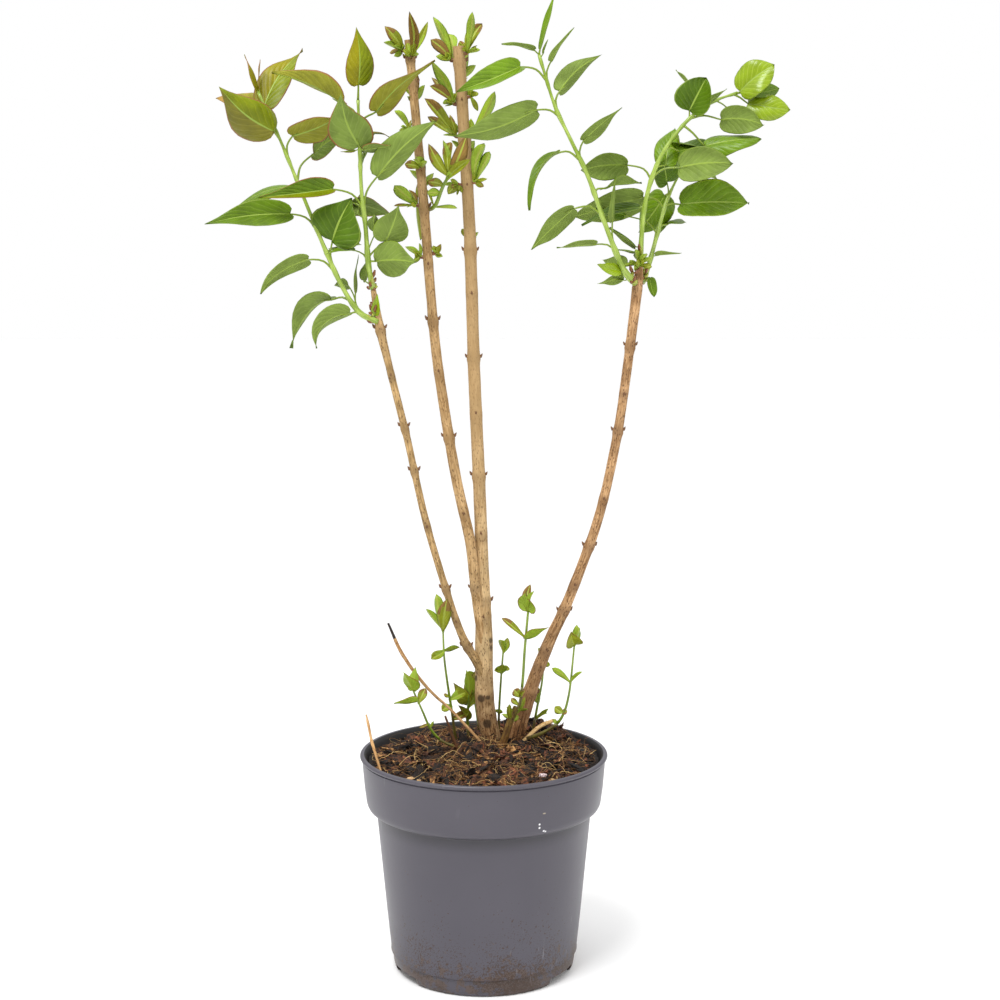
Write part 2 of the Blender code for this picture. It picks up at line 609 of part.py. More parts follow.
cane_paths = {name: with_nodes(smooth_path(points, NODE_EVERY / 2)) for name, points in CANES.items()}
keep_off = {}
for name, path in cane_paths.items():
    mesh = limb_mesh(path, name)
    if name not in RESTS_ON_STEM:
        cut_level(mesh, GROUND)
    cane = place(name, mesh, BARK)
    keep_off[name] = cutter(f"keep_off_{name}", limb_mesh(path, name, wider=GAP + 0.1))
    if name in RESTS_ON_STEM:
        cut(cane, keep_off["main_stem"])
        if name == "left_cane":
            cut(cane, keep_off["left_centre_cane"])
        settled(cane, flat_faces=False)

for name, points in SNAGS.items():
    path = smooth_path(points, 14)
    mesh = limb_mesh(path, name, resolution=2)
    cut_level(mesh, foot_height(path))
    place(name, mesh, DEAD)


# ---------------------------------------------------------------- leaves

def plane_direction(angle, swing):
    """The direction at an angle in the XZ plane, swung towards the front."""
    angle, swing = math.radians(angle), math.radians(swing)
    return Vector((math.cos(angle) * math.cos(swing), -math.sin(swing), math.sin(angle) * math.cos(swing)))


def leaf_frame(along, face):
    """The across and upper-side directions of a leaf that runs this way and faces this way."""
    front = Vector((0, -1, 0))
    front = (front - front.dot(along) * along).normalized()
    upward = front.cross(along)
    if upward.z < 0:
        upward = -upward
    face = math.radians(face)
    upper = math.cos(face) * front + math.sin(face) * upward
    return along.cross(upper), upper


def outline(share):
    """The half-width of a lilac leaf along its length, 0 to 1, as a share of its widest."""
    return math.sin(math.pi * share**0.52) ** 0.8 * (1 - 0.5 * share**3)


def leaf_mesh(base, along, face, length, width, bend, fold, stations):
    """A leaf blade: a grid folded along its midrib and bent over, thickest along the midrib."""
    across, upper = leaf_frame(along, face)
    bm = bmesh.new()
    rows = len(stations) - 1
    bmesh.ops.create_grid(bm, x_segments=2, y_segments=rows, size=1)
    middle, previous = Vector((0, 0)), 0.0
    spine = []
    for share in stations:
        turn = math.radians(bend) * (0.5 - (share + previous) / 2)
        middle = middle + Vector((math.cos(turn), math.sin(turn))) * (share - previous) * length
        previous = share
        spine.append((middle.copy(), math.radians(bend) * (0.5 - share)))
    fold = math.radians(fold)
    for vert in bm.verts:
        row = round((vert.co.y + 1) / 2 * rows)
        side = round(vert.co.x)
        centre, turn = spine[row]
        half = side * width / 2 * outline(stations[row]) if 0 < row < rows else 0
        lift = abs(half) * math.sin(fold)
        forward = centre.x - lift * math.sin(turn)
        height = centre.y + lift * math.cos(turn)
        vert.co = (base + along * forward + upper * height + across * half * math.cos(fold)) * MM
    thick = max(LEAF_THICK, LEAF_THICKNESS_SHARE * length)
    upper_side = bm.faces[:]
    under_side = bmesh.ops.duplicate(bm, geom=upper_side)["face_map"]
    for face_under in (under_side[face_over] for face_over in upper_side):
        face_under.normal_flip()
        for vert in face_under.verts:
            vert.tag = True
    for vert in [vert for vert in bm.verts if vert.tag and vert.is_boundary is False]:
        vert.co -= upper * thick * MM
    bmesh.ops.remove_doubles(bm, verts=bm.verts, dist=1e-7)
    return mesh_from(bm, "leaf")


def stalk_mesh(path, sides=3):
    """A stalk or green stem: a ring's face extruded from point to point of (point, diameter)."""
    bm = bmesh.new()
    bmesh.ops.create_circle(bm, cap_ends=True, segments=sides, radius=1)
    bm.faces.ensure_lookup_table()
    cap = bm.faces[0]
    shape = [vert.co.copy() for vert in cap.verts]
    for index, (point, size) in enumerate(path):
        if index:
            made = bmesh.ops.extrude_face_region(bm, geom=[cap])["geom"]
            if index > 1:
                bmesh.ops.delete(bm, geom=[cap], context="FACES_ONLY")
            cap = next(item for item in made if isinstance(item, bmesh.types.BMFace))
        before = path[max(0, index - 1)][0]
        after = path[min(len(path) - 1, index + 1)][0]
        turn = (after - before).normalized().to_track_quat("Z", "Y")
        for vert, corner in zip(cap.verts, shape):
            vert.co = (point + turn @ (corner * size / 2)) * MM
    return mesh_from(bm, "stalk")


def along_path(path, share):
    """The point and the direction at a share of a path's length."""
    lengths = [(after[0] - before[0]).length for before, after in zip(path, path[1:])]
    left = share * sum(lengths)
    for index, length in enumerate(lengths):
        if left <= length or index == len(lengths) - 1:
            step = path[index + 1][0] - path[index][0]
            return path[index][0] + step * min(1, left / length), step.normalized()
        left -= length


def joined(name, stem, pieces, surface, rests_on):
    """One solid of a stem and what grows on it, cut clear of the cane that carries it."""
    mass = place(name, stem, surface)
    crowd = bpy.data.collections.new(name + "_pieces")
    bpy.context.scene.collection.children.link(crowd)
    for piece in pieces:
        place(name + "_piece", piece, surface, crowd)
    union = mass.modifiers.new("Join", "BOOLEAN")
    union.operation = "UNION"
    union.operand_type = "COLLECTION"
    union.collection = crowd
    union.solver = "MANIFOLD"
    if rests_on:
        cut(mass, keep_off[rests_on], solver="MANIFOLD")
    settled(mass)
    for piece in list(crowd.objects):
        bpy.data.objects.remove(piece)
    bpy.data.collections.remove(crowd)
    return mass


def big_leaf(stem, leaf, chance):
    """The stalk and the blade of one row of SHOOTS."""
    along, stalk_angle, stalk, angle, swing, length, width, face, bend = leaf
    root, up = along_path(stem, along)
    angle += chance.uniform(-1, 1)
    forward = plane_direction(angle, swing)
    base = root + plane_direction(stalk_angle, swing * 0.5) * stalk
    knee = root + (base - root) * 0.5 + (up - forward) * stalk * 0.12
    blade = leaf_mesh(base, forward, face + chance.uniform(-SCATTER, SCATTER), length, width, bend,
                      LEAF_FOLD + chance.uniform(-SCATTER, SCATTER), LEAF_STATIONS)
    upper = leaf_frame(forward, face)[1]
    sunk = base + forward * length * 0.12 + upper * length * 0.12 * math.tan(math.radians(bend * 0.45))
    thick = STALK_THICK * min(1, 0.45 + length / 90)
    return [stalk_mesh([(root, thick * 1.15), (knee, thick), (sunk, thick * 0.4)]), blade]


def leaflet(root, angle, swing, length, width, face):
    """A young leaf with no stalk to speak of: a folded diamond, sunk into its stem."""
    forward = plane_direction(angle, swing)
    return leaf_mesh(root - forward * 1.5, forward, face, length + 1.5, width, 14, LEAFLET_FOLD, (0.0, 0.42, 1.0))


for name, shoot in SHOOTS.items():
    chance = random.Random(name)
    foot, tip = shoot["thick"]
    points = shoot["stem"]
    sizes = [foot + (tip - foot) * index / (len(points) - 1) for index in range(len(points))]
    stem = smooth_path(list(zip(points, sizes)), 34)
    pieces = []
    for leaf in shoot["leaves"]:
        pieces += big_leaf(stem, leaf, chance)
    for index in range(FOOT_SCALES):
        root, _ = along_path(stem, 0.03)
        pieces.append(leaflet(root, 360 * index / FOOT_SCALES + 20, chance.uniform(-30, 30), 8, 4, 60))
    joined(name, stalk_mesh(stem, 5), pieces, LEAF, shoot["on"])

for cane, clusters in CLUSTERS.items():
    for number, (height, side, *leaflets) in enumerate(clusters, 1):
        chance = random.Random(f"{cane}{number}")
        path = cane_paths[cane]
        below, above = next(pair for pair in zip(path, path[1:]) if pair[1][0].z >= height)
        axis = below[0].lerp(above[0], (height - below[0].z) / (above[0].z - below[0].z))
        side = math.radians(side)
        out = Vector((math.cos(side), math.sin(side), 0))
        tip = axis + out * (below[1] / 2 + STUB)
        stem = [(axis + out * below[1] * 0.3, STUB_THICK), (tip, STUB_THICK * 0.8)]
        pieces = []
        for index, (angle, length, width) in enumerate(leaflets):
            swing = 22 * (-1) ** index - 24 * out.y + chance.uniform(-12, 12)
            pieces.append(leaflet(tip, angle, swing, length, width, chance.choice((20, 150)) + chance.uniform(-20, 20)))
        joined(f"{cane}_cluster_{number}", stalk_mesh(stem, 5), pieces, YOUNG, cane)

for name, sprig in SPRIGS.items():
    chance = random.Random(name)
    foot, tip = sprig["thick"]
    points = sprig["stem"]
    sizes = [foot + (tip - foot) * index / (len(points) - 1) for index in range(len(points))]
    stem = smooth_path(list(zip(points, sizes)), 34)
    mesh = stalk_mesh(stem, 5)
    if sprig["on"] is None:
        cut_level(mesh, foot_height(stem))
    pieces = []
    for index, (along, angle, length, width) in enumerate(sprig["leaves"]):
        root, _ = along_path(stem, along)
        swing = 24 * (-1) ** index + chance.uniform(-12, 12)
        pieces.append(leaflet(root, angle, swing, length, width, chance.choice((20, 150)) + chance.uniform(-20, 20)))
    joined(name, mesh, pieces, YOUNG, sprig["on"])
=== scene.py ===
"""Potted lilac: a young multi-stemmed lilac in a round nursery pot of bark compost.

The sections follow the plant as it is put together: pot, compost, canes, dead wood, leafy shoots,
clusters of young leaves, suckers, and the studio round it. Sizes are in millimetres and angles in
degrees unless a comment says otherwise, and become metres where a mesh is made. What a shader reads
is in metres.
"""

import math
import random

import bmesh
import bpy
from mathutils import Matrix, Vector, noise


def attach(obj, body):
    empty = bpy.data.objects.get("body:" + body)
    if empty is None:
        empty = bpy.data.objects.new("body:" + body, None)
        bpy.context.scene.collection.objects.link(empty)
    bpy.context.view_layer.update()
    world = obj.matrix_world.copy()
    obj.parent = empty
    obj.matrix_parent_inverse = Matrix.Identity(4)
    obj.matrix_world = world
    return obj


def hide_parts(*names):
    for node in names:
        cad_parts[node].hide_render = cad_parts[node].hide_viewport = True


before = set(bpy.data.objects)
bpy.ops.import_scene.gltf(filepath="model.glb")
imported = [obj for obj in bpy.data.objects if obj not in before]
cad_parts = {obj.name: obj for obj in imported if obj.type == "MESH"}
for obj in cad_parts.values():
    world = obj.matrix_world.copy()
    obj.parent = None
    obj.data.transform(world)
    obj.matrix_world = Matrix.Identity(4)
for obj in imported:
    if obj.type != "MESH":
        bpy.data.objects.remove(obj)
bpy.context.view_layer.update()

MM = 0.001


# ---------------------------------------------------------------- nursery pot
# A 23 cm round nursery pot, injection-moulded in grey polypropylene: a rolled lip over a deep
# plain band, a tapering body, and a foot ring with three notches and drain holes inside it.

RIM_RADIUS = 115.0
RIM_HEIGHT = 204.5
WALL = 1.8
BAND_BOTTOM = 153.0
BODY_TOP_RADIUS = 99.9
BODY_BOTTOM_RADIUS = 87.2
FOOT_STEP = 17.0
FOOT_RADIUS = 80.0
FLOOR_HEIGHT = 12.0
PAD_RADIUS = 30.0
NOTCH_HEIGHT = 7.4
NOTCH_HALF_ANGLE = 15.5
NOTCHES_AT = (90, 210, 330)
NOTCH_TAPER = 4.0  # how much each side of a notch leans in by its top
DRAIN_RADIUS = 5.0
DRAINS_AT_RADIUS = 54.0
DRAINS_AT = range(30, 360, 60)
POT_STEPS = 144
POT_SHARP_FROM = 38.0


def paint(red, green, blue):
    """A colour as a paint chart gives it, 0 to 255, in Blender's linear values."""
    shares = (value / 255 for value in (red, green, blue))
    linear = (value / 12.92 if value <= 0.04045 else ((value + 0.055) / 1.055) ** 2.4 for value in shares)
    return (*linear, 1)


def fill(tree, inputs, values):
    """Give named inputs their values, or link them to other nodes' outputs."""
    for name, value in values.items():
        if isinstance(value, bpy.types.NodeSocket):
            tree.links.new(value, inputs[name])
        else:
            inputs[name].default_value = value


def surface(name, colour, roughness, shine=0.5):
    """A new material, its shader and its node tree."""
    made = bpy.data.materials.new(name)
    made.use_nodes = True
    tree = made.node_tree
    shader = tree.nodes["Principled BSDF"]
    fill(tree, shader.inputs, {"Base Color": colour, "Roughness": roughness, "Specular IOR Level": shine})
    return made, shader, tree


def add(tree, kind, inputs, **settings):
    """A new node with its settings and its inputs."""
    made = tree.nodes.new("ShaderNode" + kind)
    for name, value in settings.items():
        setattr(made, name, value)
    fill(tree, made.inputs, inputs)
    return made


def maths(tree, operation, first, second=0.5):
    return add(tree, "Math", {0: first, 1: second}, operation=operation).outputs[0]


def times(tree, first, second):
    return maths(tree, "MULTIPLY", first, second)


def less(tree, first, second):
    return maths(tree, "SUBTRACT", first, second)


def blended(tree, share, first, second):
    return add(tree, "Mix", {0: share, 6: first, 7: second}, data_type="RGBA").outputs[2]


def ramped(tree, value, low, high, to_low=0.0, to_high=1.0):
    return add(tree, "MapRange", {"Value": value, "From Min": low, "From Max": high,
                                  "To Min": to_low, "To Max": to_high}).outputs[0]


def clouds(tree, way, scale, detail):
    return add(tree, "TexNoise", {"Vector": way, "Scale": scale, "Detail": detail}).outputs[0]


def stretched(tree, way, scale, rotation=(0, 0, 0)):
    return add(tree, "Mapping", {"Vector": way, "Rotation": rotation, "Scale": scale}).outputs[0]


def spot_in(tree):
    """Where a shaded point lies, in metres."""
    return add(tree, "TexCoord", {}).outputs["Object"]


def height_of(tree, spot):
    return add(tree, "SeparateXYZ", {0: spot}).outputs[2]


def distance(tree, spot, place):
    return add(tree, "VectorMath", {0: spot, 1: place}, operation="DISTANCE").outputs["Value"]


def dress(tree, shader, tone, height=None, strength=0.0, depth=0.001):
    """Give a shader its colour and, with a height, relief of a depth in metres."""
    fill(tree, shader.inputs, {"Base Color": tone})
    if height is not None:
        bump = add(tree, "Bump", {"Height": height, "Strength": strength, "Distance": depth})
        fill(tree, shader.inputs, {"Normal": bump.outputs[0]})


def effect(name, takes, gives):
    """An empty shader node group with named number inputs, and its ends."""
    tree = bpy.data.node_groups.new(name, "ShaderNodeTree")
    for label, value in takes.items():
        made = tree.interface.new_socket(label, in_out="INPUT", socket_type="NodeSocketFloat")
        made.default_value = value
    for label in gives:
        tree.interface.new_socket(label, in_out="OUTPUT", socket_type="NodeSocketFloat")
    return tree, tree.nodes.new("NodeGroupInput").outputs, tree.nodes.new("NodeGroupOutput").inputs


def placed(tree, group, inputs):
    return add(tree, "Group", inputs, node_tree=group).outputs


# Soil splashes: specks that lie thick at a base height and thin out above it.
tree, given, out = effect("soil specks", {"Scale": 400, "Base": 0, "Reach": 0.06, "Amount": 1}, ("Mask",))
soil_specks = tree
spot = spot_in(tree)
top = maths(tree, "ADD", given["Base"], given["Reach"])
near = ramped(tree, height_of(tree, spot), given["Base"], top, 1, 0)
near = times(tree, maths(tree, "POWER", near, 1.7), given["Amount"])
near = times(tree, near, ramped(tree, clouds(tree, spot, 30, 2), 0.3, 0.62, 0.35, 1))
edge = less(tree, 0.74, times(tree, near, 0.26))
grain = clouds(tree, spot, given["Scale"], 3)
fill(tree, out, {"Mask": ramped(tree, less(tree, grain, edge), 0, 0.035)})


def under_soil(tree, tone, colour, scale, base, reach, amount, strength=1):
    """A tone with specks of soil on it."""
    specks = placed(tree, soil_specks, {"Scale": scale, "Base": base, "Reach": reach, "Amount": amount})
    return blended(tree, times(tree, specks["Mask"], strength), tone, colour)


POT_SOIL = (  # colour, scale, base and reach in metres, amount and strength
    ((86, 68, 57), 150, 0.008, 0.055, 1.7, 0.75),  # a film at the foot
    ((56, 40, 30), 1100, 0.008, 0.11, 1.2, 0.85),  # fine specks
    ((64, 44, 30), 480, 0.01, 0.15, 0.9, 0.85),  # crumbs
)
LIME_SPOTS = (  # white dots on the band, metres
    (0.0497, -0.0976, 0.1655), (0.0497, -0.0972, 0.1622),
    (0.0553, -0.0937, 0.1575), (0.0536, -0.0947, 0.1585),
)
TAN_SPLASH = (0.0532, -0.0966, 0.1752)
SPLASH_SHAPE = (0.5, 1, 1.6)  # wider than high
pot_plastic, shader, tree = surface("pot_plastic", paint(76, 73, 82), 0.36, 0.46)
spot = spot_in(tree)
cloud = clouds(tree, spot, 9, 3)
grey = blended(tree, ramped(tree, cloud, 0.3, 0.7), paint(72, 69, 78), paint(79, 76, 85))
height = height_of(tree, spot)
# Painted shade: a darker grey just below the band, where the band's overhang shades the body.
painted_shade_under_band = times(tree, ramped(tree, height, 0.137, 0.153), ramped(tree, height, 0.1535, 0.156, 1, 0))
grey = blended(tree, times(tree, maths(tree, "POWER", painted_shade_under_band, 1.3), 0.95), grey, paint(48, 46, 51))
for colour, *specks in POT_SOIL:
    grey = under_soil(tree, grey, paint(*colour), *specks)
scratch = clouds(tree, stretched(tree, spot, (1, 1, 0.14), (0, 0.5, 0)), 260, 1)
worn = times(tree, ramped(tree, scratch, 0.7, 0.74), ramped(tree, cloud, 0.52, 0.66, 0, 0.3))
grey = blended(tree, worn, grey, paint(150, 148, 152))
for lime in LIME_SPOTS:
    dot = ramped(tree, distance(tree, spot, lime), 0.0007, 0.0012, 1, 0)
    grey = blended(tree, dot, grey, paint(232, 232, 234))
flat_spot = tuple(value * size for value, size in zip(TAN_SPLASH, SPLASH_SHAPE))
away = distance(tree, stretched(tree, spot, SPLASH_SHAPE), flat_spot)
grey = blended(tree, ramped(tree, away, 0.0008, 0.0014, 0.8, 0), grey, paint(176, 164, 140))
fill(tree, shader.inputs, {"Roughness": ramped(tree, cloud, 0.3, 0.7, 0.33, 0.42)})
dress(tree, shader, grey, clouds(tree, spot, 160, 2), 0.05)

# Painted shade: the inner wall is near black, far darker than the grey outside, and holds the shade that
# falls inside the pot.
pot_inside, shader, tree = surface("pot_inside", paint(26, 24, 25), 0.5)
dress(tree, shader, under_soil(tree, paint(26, 24, 25), paint(62, 44, 30), 300, 0.185, 0.03, 1.2))


def inner_radius(height):
    """The pot wall's inner radius at a height above its foot."""
    if height >= BAND_BOTTOM:
        share = (height - BAND_BOTTOM) / (RIM_HEIGHT - BAND_BOTTOM)
        return BODY_TOP_RADIUS - WALL + share * (RIM_RADIUS - 3.4 - BODY_TOP_RADIUS)
    share = (height - FOOT_STEP) / (BAND_BOTTOM - FOOT_STEP)
    return BODY_BOTTOM_RADIUS - WALL + share * (BODY_TOP_RADIUS - BODY_BOTTOM_RADIUS)


def stood(name, data):
    """A new object in the scene."""
    made = bpy.data.objects.new(name, data)
    bpy.context.scene.collection.objects.link(made)
    return made


def settled(made):
    """An object's mesh as its modifiers or bevel make it."""
    bpy.context.view_layer.update()
    return bpy.data.meshes.new_from_object(made.evaluated_get(bpy.context.evaluated_depsgraph_get()))


def piece(name, bm, *materials, smooth=True):
    """A finished mesh as a piece of the plant that rides with it."""
    mesh = bpy.data.meshes.new(name)
    for face in bm.faces:
        face.smooth = smooth
    bm.to_mesh(mesh)
    bm.free()
    for material in materials:
        mesh.materials.append(material)
    made = stood(name, mesh)
    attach(made, "root")
    return made


def spun(profile, steps):
    """A profile of (radius, height) turned once round Z."""
    bm = bmesh.new()
    verts = [bm.verts.new((radius * MM, 0, height * MM)) for radius, height in profile]
    edges = [bm.edges.new(pair) for pair in zip(verts, verts[1:])]
    bmesh.ops.spin(bm, geom=verts + edges, axis=(0, 0, 1), cent=(0, 0, 0), angle=math.tau,
                   steps=steps, use_merge=True, use_duplicate=False)
    bmesh.ops.remove_doubles(bm, verts=bm.verts, dist=1e-6)
    bmesh.ops.recalc_face_normals(bm, faces=bm.faces)
    return bm


lip = (  # how far in from the rim's radius and how far below its height
    (2.0, 0), (0.9, 0.4), (0.1, 1.4), (0, 2.2), (0.5, 3.2), (1.5, 3.7), (2.7, 4.1), (2.8, 4.7), (2.1, 5.4),
    (2.2, 8), (4.0, 30),
)
band = (  # how far in from the rim's radius and how far above the band's edge
    (5.6, 8.5), (6.2, 5.4), (7.5, 2.6), (9.4, 0.8), (11.6, 0),
)
step = (  # how far out from the body's foot and how far above the foot's step
    (0, 1.6), (0.4, 0.7), (0.3, -0.1), (-0.9, -0.6), (-1.8, -1.4), (-1.6, -2.6),
)
outside = (
    *((RIM_RADIUS - inward, RIM_HEIGHT - below) for inward, below in lip),
    *((RIM_RADIUS - inward, BAND_BOTTOM + above) for inward, above in band),
    (BODY_TOP_RADIUS + 1.6, BAND_BOTTOM - 0.4), (BODY_TOP_RADIUS + 0.4, BAND_BOTTOM - 1.4),
    (BODY_TOP_RADIUS, BAND_BOTTOM - 3.2), (95.2, 100), (91, 55),
    *((BODY_BOTTOM_RADIUS + outward, FOOT_STEP + above) for outward, above in step),
    (FOOT_RADIUS + 5.2, 8), (FOOT_RADIUS + 4.2, 3.2), (FOOT_RADIUS + 2.6, 0.8), (FOOT_RADIUS + 0.4, 0),
)
under = (
    (FOOT_RADIUS - 2.6, 0), (FOOT_RADIUS - 2.2, FLOOR_HEIGHT), (PAD_RADIUS + 6, FLOOR_HEIGHT),
    (PAD_RADIUS, 0), (0, 0),
)
inside = (
    (0, WALL), (PAD_RADIUS - 1.2, WALL), (PAD_RADIUS + 4.8, FLOOR_HEIGHT + WALL),
    (FOOT_RADIUS - 2, FLOOR_HEIGHT + WALL), (inner_radius(FOOT_STEP + 3), FOOT_STEP + 3),
    (inner_radius(BAND_BOTTOM - 2), BAND_BOTTOM - 2), (inner_radius(BAND_BOTTOM), BAND_BOTTOM),
    (inner_radius(RIM_HEIGHT - 4), RIM_HEIGHT - 4), (RIM_RADIUS - 4.6, RIM_HEIGHT - 1.2),
    (RIM_RADIUS - 3.8, RIM_HEIGHT - 0.3),
)
bm = spun(outside + under + inside + outside[:1], POT_STEPS)
for face in bm.faces:
    middle = face.calc_center_median()
    if middle.z > FLOOR_HEIGHT * MM and Vector((middle.x, middle.y, 0)).dot(face.normal) < -0.02:
        face.material_index = 1
pot = piece("nursery_pot", bm, pot_plastic, pot_inside)

bm = bmesh.new()
half_width = BODY_BOTTOM_RADIUS * math.sin(math.radians(NOTCH_HALF_ANGLE)) * MM
for angle in NOTCHES_AT:
    corners = bmesh.ops.create_cube(bm, size=1)["verts"]
    for vert in corners:
        top = vert.co.z > 0
        vert.co = (
            (FOOT_RADIUS - 12 + 24 * (vert.co.x > 0)) * MM,
            math.copysign(half_width - (NOTCH_TAPER * MM if top else 0), vert.co.y),
            NOTCH_HEIGHT * MM if top else -NOTCH_TAPER * MM,
        )
    bmesh.ops.rotate(bm, verts=corners, matrix=Matrix.Rotation(math.radians(angle), 3, "Z"))
for angle in DRAINS_AT:
    angle = math.radians(angle)
    drain = bmesh.ops.create_cone(bm, cap_ends=True, segments=20, radius1=DRAIN_RADIUS * MM,
                                  radius2=DRAIN_RADIUS * MM, depth=12 * MM)["verts"]
    bmesh.ops.translate(bm, verts=drain, vec=(DRAINS_AT_RADIUS * MM * math.cos(angle),
                                              DRAINS_AT_RADIUS * MM * math.sin(angle), FLOOR_HEIGHT * MM))
bmesh.ops.recalc_face_normals(bm, faces=bm.faces)
openings = piece("pot_openings", bm)
trim = pot.modifiers.new("Openings", "BOOLEAN")
trim.object = openings
trim.solver = "EXACT"
trimmed = settled(pot)
pot.modifiers.clear()
pot.data = trimmed
bpy.data.objects.remove(openings)
trimmed.set_sharp_from_angle(angle=math.radians(POT_SHARP_FROM))
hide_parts("pot")


# ---------------------------------------------------------------- bark compost
# Bark compost filled nearly to the rim and heaped round and behind the stems: a dark body of fines,
# torn bark chips lying on it, and the plant's own fine tan roots and shreds of fibre among them.

COMPOST_LEVEL = 195.0
COMPOST_RINGS = 64
WALL_GAP = 0.6  # between the compost and the pot's wall
MOUNDS = ((12, 27, 60, 10), (50, 73, 42, 14), (88, 38, 44, 6), (-88, 20, 40, 3))  # x, y, spread, height
CRUMBS = 1900  # small chips
CRUMB_LENGTH = (2.5, 8, 4)  # least, most and most common
CHIPS = 760  # large ones
CHIP_LENGTH = (9, 26, 12)
CHIP_SHARES = (36, 42, 17, 5)  # of each colour
HANDFUL = 60
HEAP_CHIPS = 190  # large ones heaped at the back right
HEAP_X, HEAP_Y = (45, 22), (68, 12)  # the heap's middle and its spread
EDGE_ROOM = 2  # left free inside the pot's wall
GRIT = ((54, -60, 8.5, 0), (-64, -67, 12, 1), (-58, -71, 8, 1), (61, -70, 10, 1))  # x, y, size, material
FIBRES = 1050
FIBRE_RADII = (0.14, 0.17, 0.2, 0.26, 0.36)
FIBRE_SHARES = (20, 36, 44)


def compost_height(x, y):
    """The compost's surface at a point in plan."""
    rise = 0
    for centre_x, centre_y, spread, peak in MOUNDS:
        distance = math.hypot(x - centre_x, y - centre_y) / spread
        rise = max(rise, min(1.35 * peak * math.exp(-(distance**2)), peak))
    wave = 0.5 * math.sin(0.11 * x + 0.7) * math.cos(0.13 * y)
    edge = max(0, math.hypot(x, y) - 80) / 32
    return COMPOST_LEVEL + rise * (1 - 0.35 * edge) + wave * (1 - min(1, rise / 10))


compost_fines, shader, tree = surface("compost_fines", paint(20, 13, 9), 0.95)
crumb = clouds(tree, spot_in(tree), 260, 5)
brown = blended(tree, ramped(tree, crumb, 0.35, 0.7), paint(9, 6, 4), paint(40, 26, 16))
dress(tree, shader, brown, crumb, 0.8, 0.003)

top_radius = inner_radius(COMPOST_LEVEL) - WALL_GAP
rings = [(top_radius * index / COMPOST_RINGS, COMPOST_LEVEL) for index in range(COMPOST_RINGS + 1)]
bottom = FLOOR_HEIGHT + WALL + 0.3
sides = [(inner_radius(BAND_BOTTOM) - WALL_GAP, BAND_BOTTOM),
         (inner_radius(FOOT_STEP + 3) - WALL_GAP, FOOT_STEP + 3.3), (FOOT_RADIUS - 2.6, bottom), (0, bottom)]
bm = spun(rings + sides, 160)
for vert in bm.verts:
    x, y, z = (value / MM for value in vert.co)
    if z > COMPOST_LEVEL - 1:
        lumps = noise.fractal(Vector((x, y, 3)) * 0.09, 1.0, 2.2, 4)
        vert.co.z = (compost_height(x, y) + 1.9 * lumps) * MM
compost = piece("compost", bm, compost_fines)
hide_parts("compost")


def grainy(name, light, dark, roughness, scale, detail, low, high, relief=0.0):
    """A dry, torn surface of two tones, with relief where it is fibrous."""
    light, dark = paint(*light), paint(*dark)
    made, shader, tree = surface(name, light, roughness)
    grain = clouds(tree, spot_in(tree), scale, detail)
    tone = blended(tree, ramped(tree, grain, low, high), dark, light)
    dress(tree, shader, tone, grain if relief else None, relief)
    return made


def faces_of(verts):
    return {face for vert in verts for face in vert.link_faces}


CHIP_SURFACES = [
    grainy("bark_chip_" + name, light, dark, 0.88, 300, 4, 0.42, 0.6, 0.6)
    for name, light, dark in (
        ("brown", (100, 60, 35), (30, 18, 11)), ("dark", (38, 25, 17), (6, 4, 3)),
        ("red", (138, 82, 52), (54, 31, 21)), ("tan", (200, 150, 92), (110, 74, 42)),
    )
]
chance = random.Random(23)
bm = bmesh.new()
handful = bpy.data.meshes.new("handful")
whole = bmesh.new()
for number in range(CRUMBS + CHIPS + HEAP_CHIPS):
    if number % HANDFUL == 0:  # every handful is put by before the next, which keeps the work quick
        bm.to_mesh(handful)
        bm.free()
        whole.from_mesh(handful)
        bm = bmesh.new()
    large = number >= CRUMBS
    heaped = number >= CRUMBS + CHIPS
    length = chance.triangular(*(CHIP_LENGTH if large else CRUMB_LENGTH))
    room = top_radius - EDGE_ROOM - length / 2
    reach = room * math.sqrt(chance.random())
    turn = chance.uniform(0, math.tau)
    x, y = reach * math.cos(turn), reach * math.sin(turn)
    if heaped:
        x, y = chance.gauss(*HEAP_X), chance.gauss(*HEAP_Y)
        if math.hypot(x, y) > room:
            continue
    if large:
        shape = bmesh.ops.create_uvsphere(bm, u_segments=7, v_segments=6, radius=0.5)["verts"]
        for vert in shape:  # squared off to a slab, its length along X
            vert.co = [math.copysign(abs(2 * value) ** 0.6 / 2, value) for value in vert.co.zxy]
    else:
        shape = bmesh.ops.create_cube(bm, size=1)["verts"]
    size = (length, length * chance.uniform(0.28, 0.6), length * chance.uniform(0.1, 0.2))
    lie = Matrix.Rotation(chance.uniform(0, math.tau), 3, "Z")
    lie = lie @ Matrix.Rotation(chance.gauss(0, 0.42), 3, "Y") @ Matrix.Rotation(chance.gauss(0, 0.6), 3, "X")
    centre = Vector((x, y, compost_height(x, y) + chance.uniform(-1.5, 4.6 if heaped else 3.2)))
    colour = chance.choices(range(4), CHIP_SHARES)[0]
    torn = chance.uniform(0, 90)
    for vert in shape:
        x, y, z = vert.co
        ragged = 0.85 + 0.8 * noise.noise(Vector(vert.co * 2.6) + Vector((torn, 0, 0)))
        ragged *= 1.1 - 0.5 * abs(x)
        rough = (value * side * ragged * chance.uniform(0.75, 1.25) for value, side in zip((x, y, z), size))
        vert.co = (centre + lie @ Vector(rough)) * MM
    for face in faces_of(shape):
        face.material_index = colour
bm.to_mesh(handful)
bm.free()
whole.from_mesh(handful)
bpy.data.meshes.remove(handful)
chips = piece("bark_chips", whole, *CHIP_SURFACES, smooth=False)

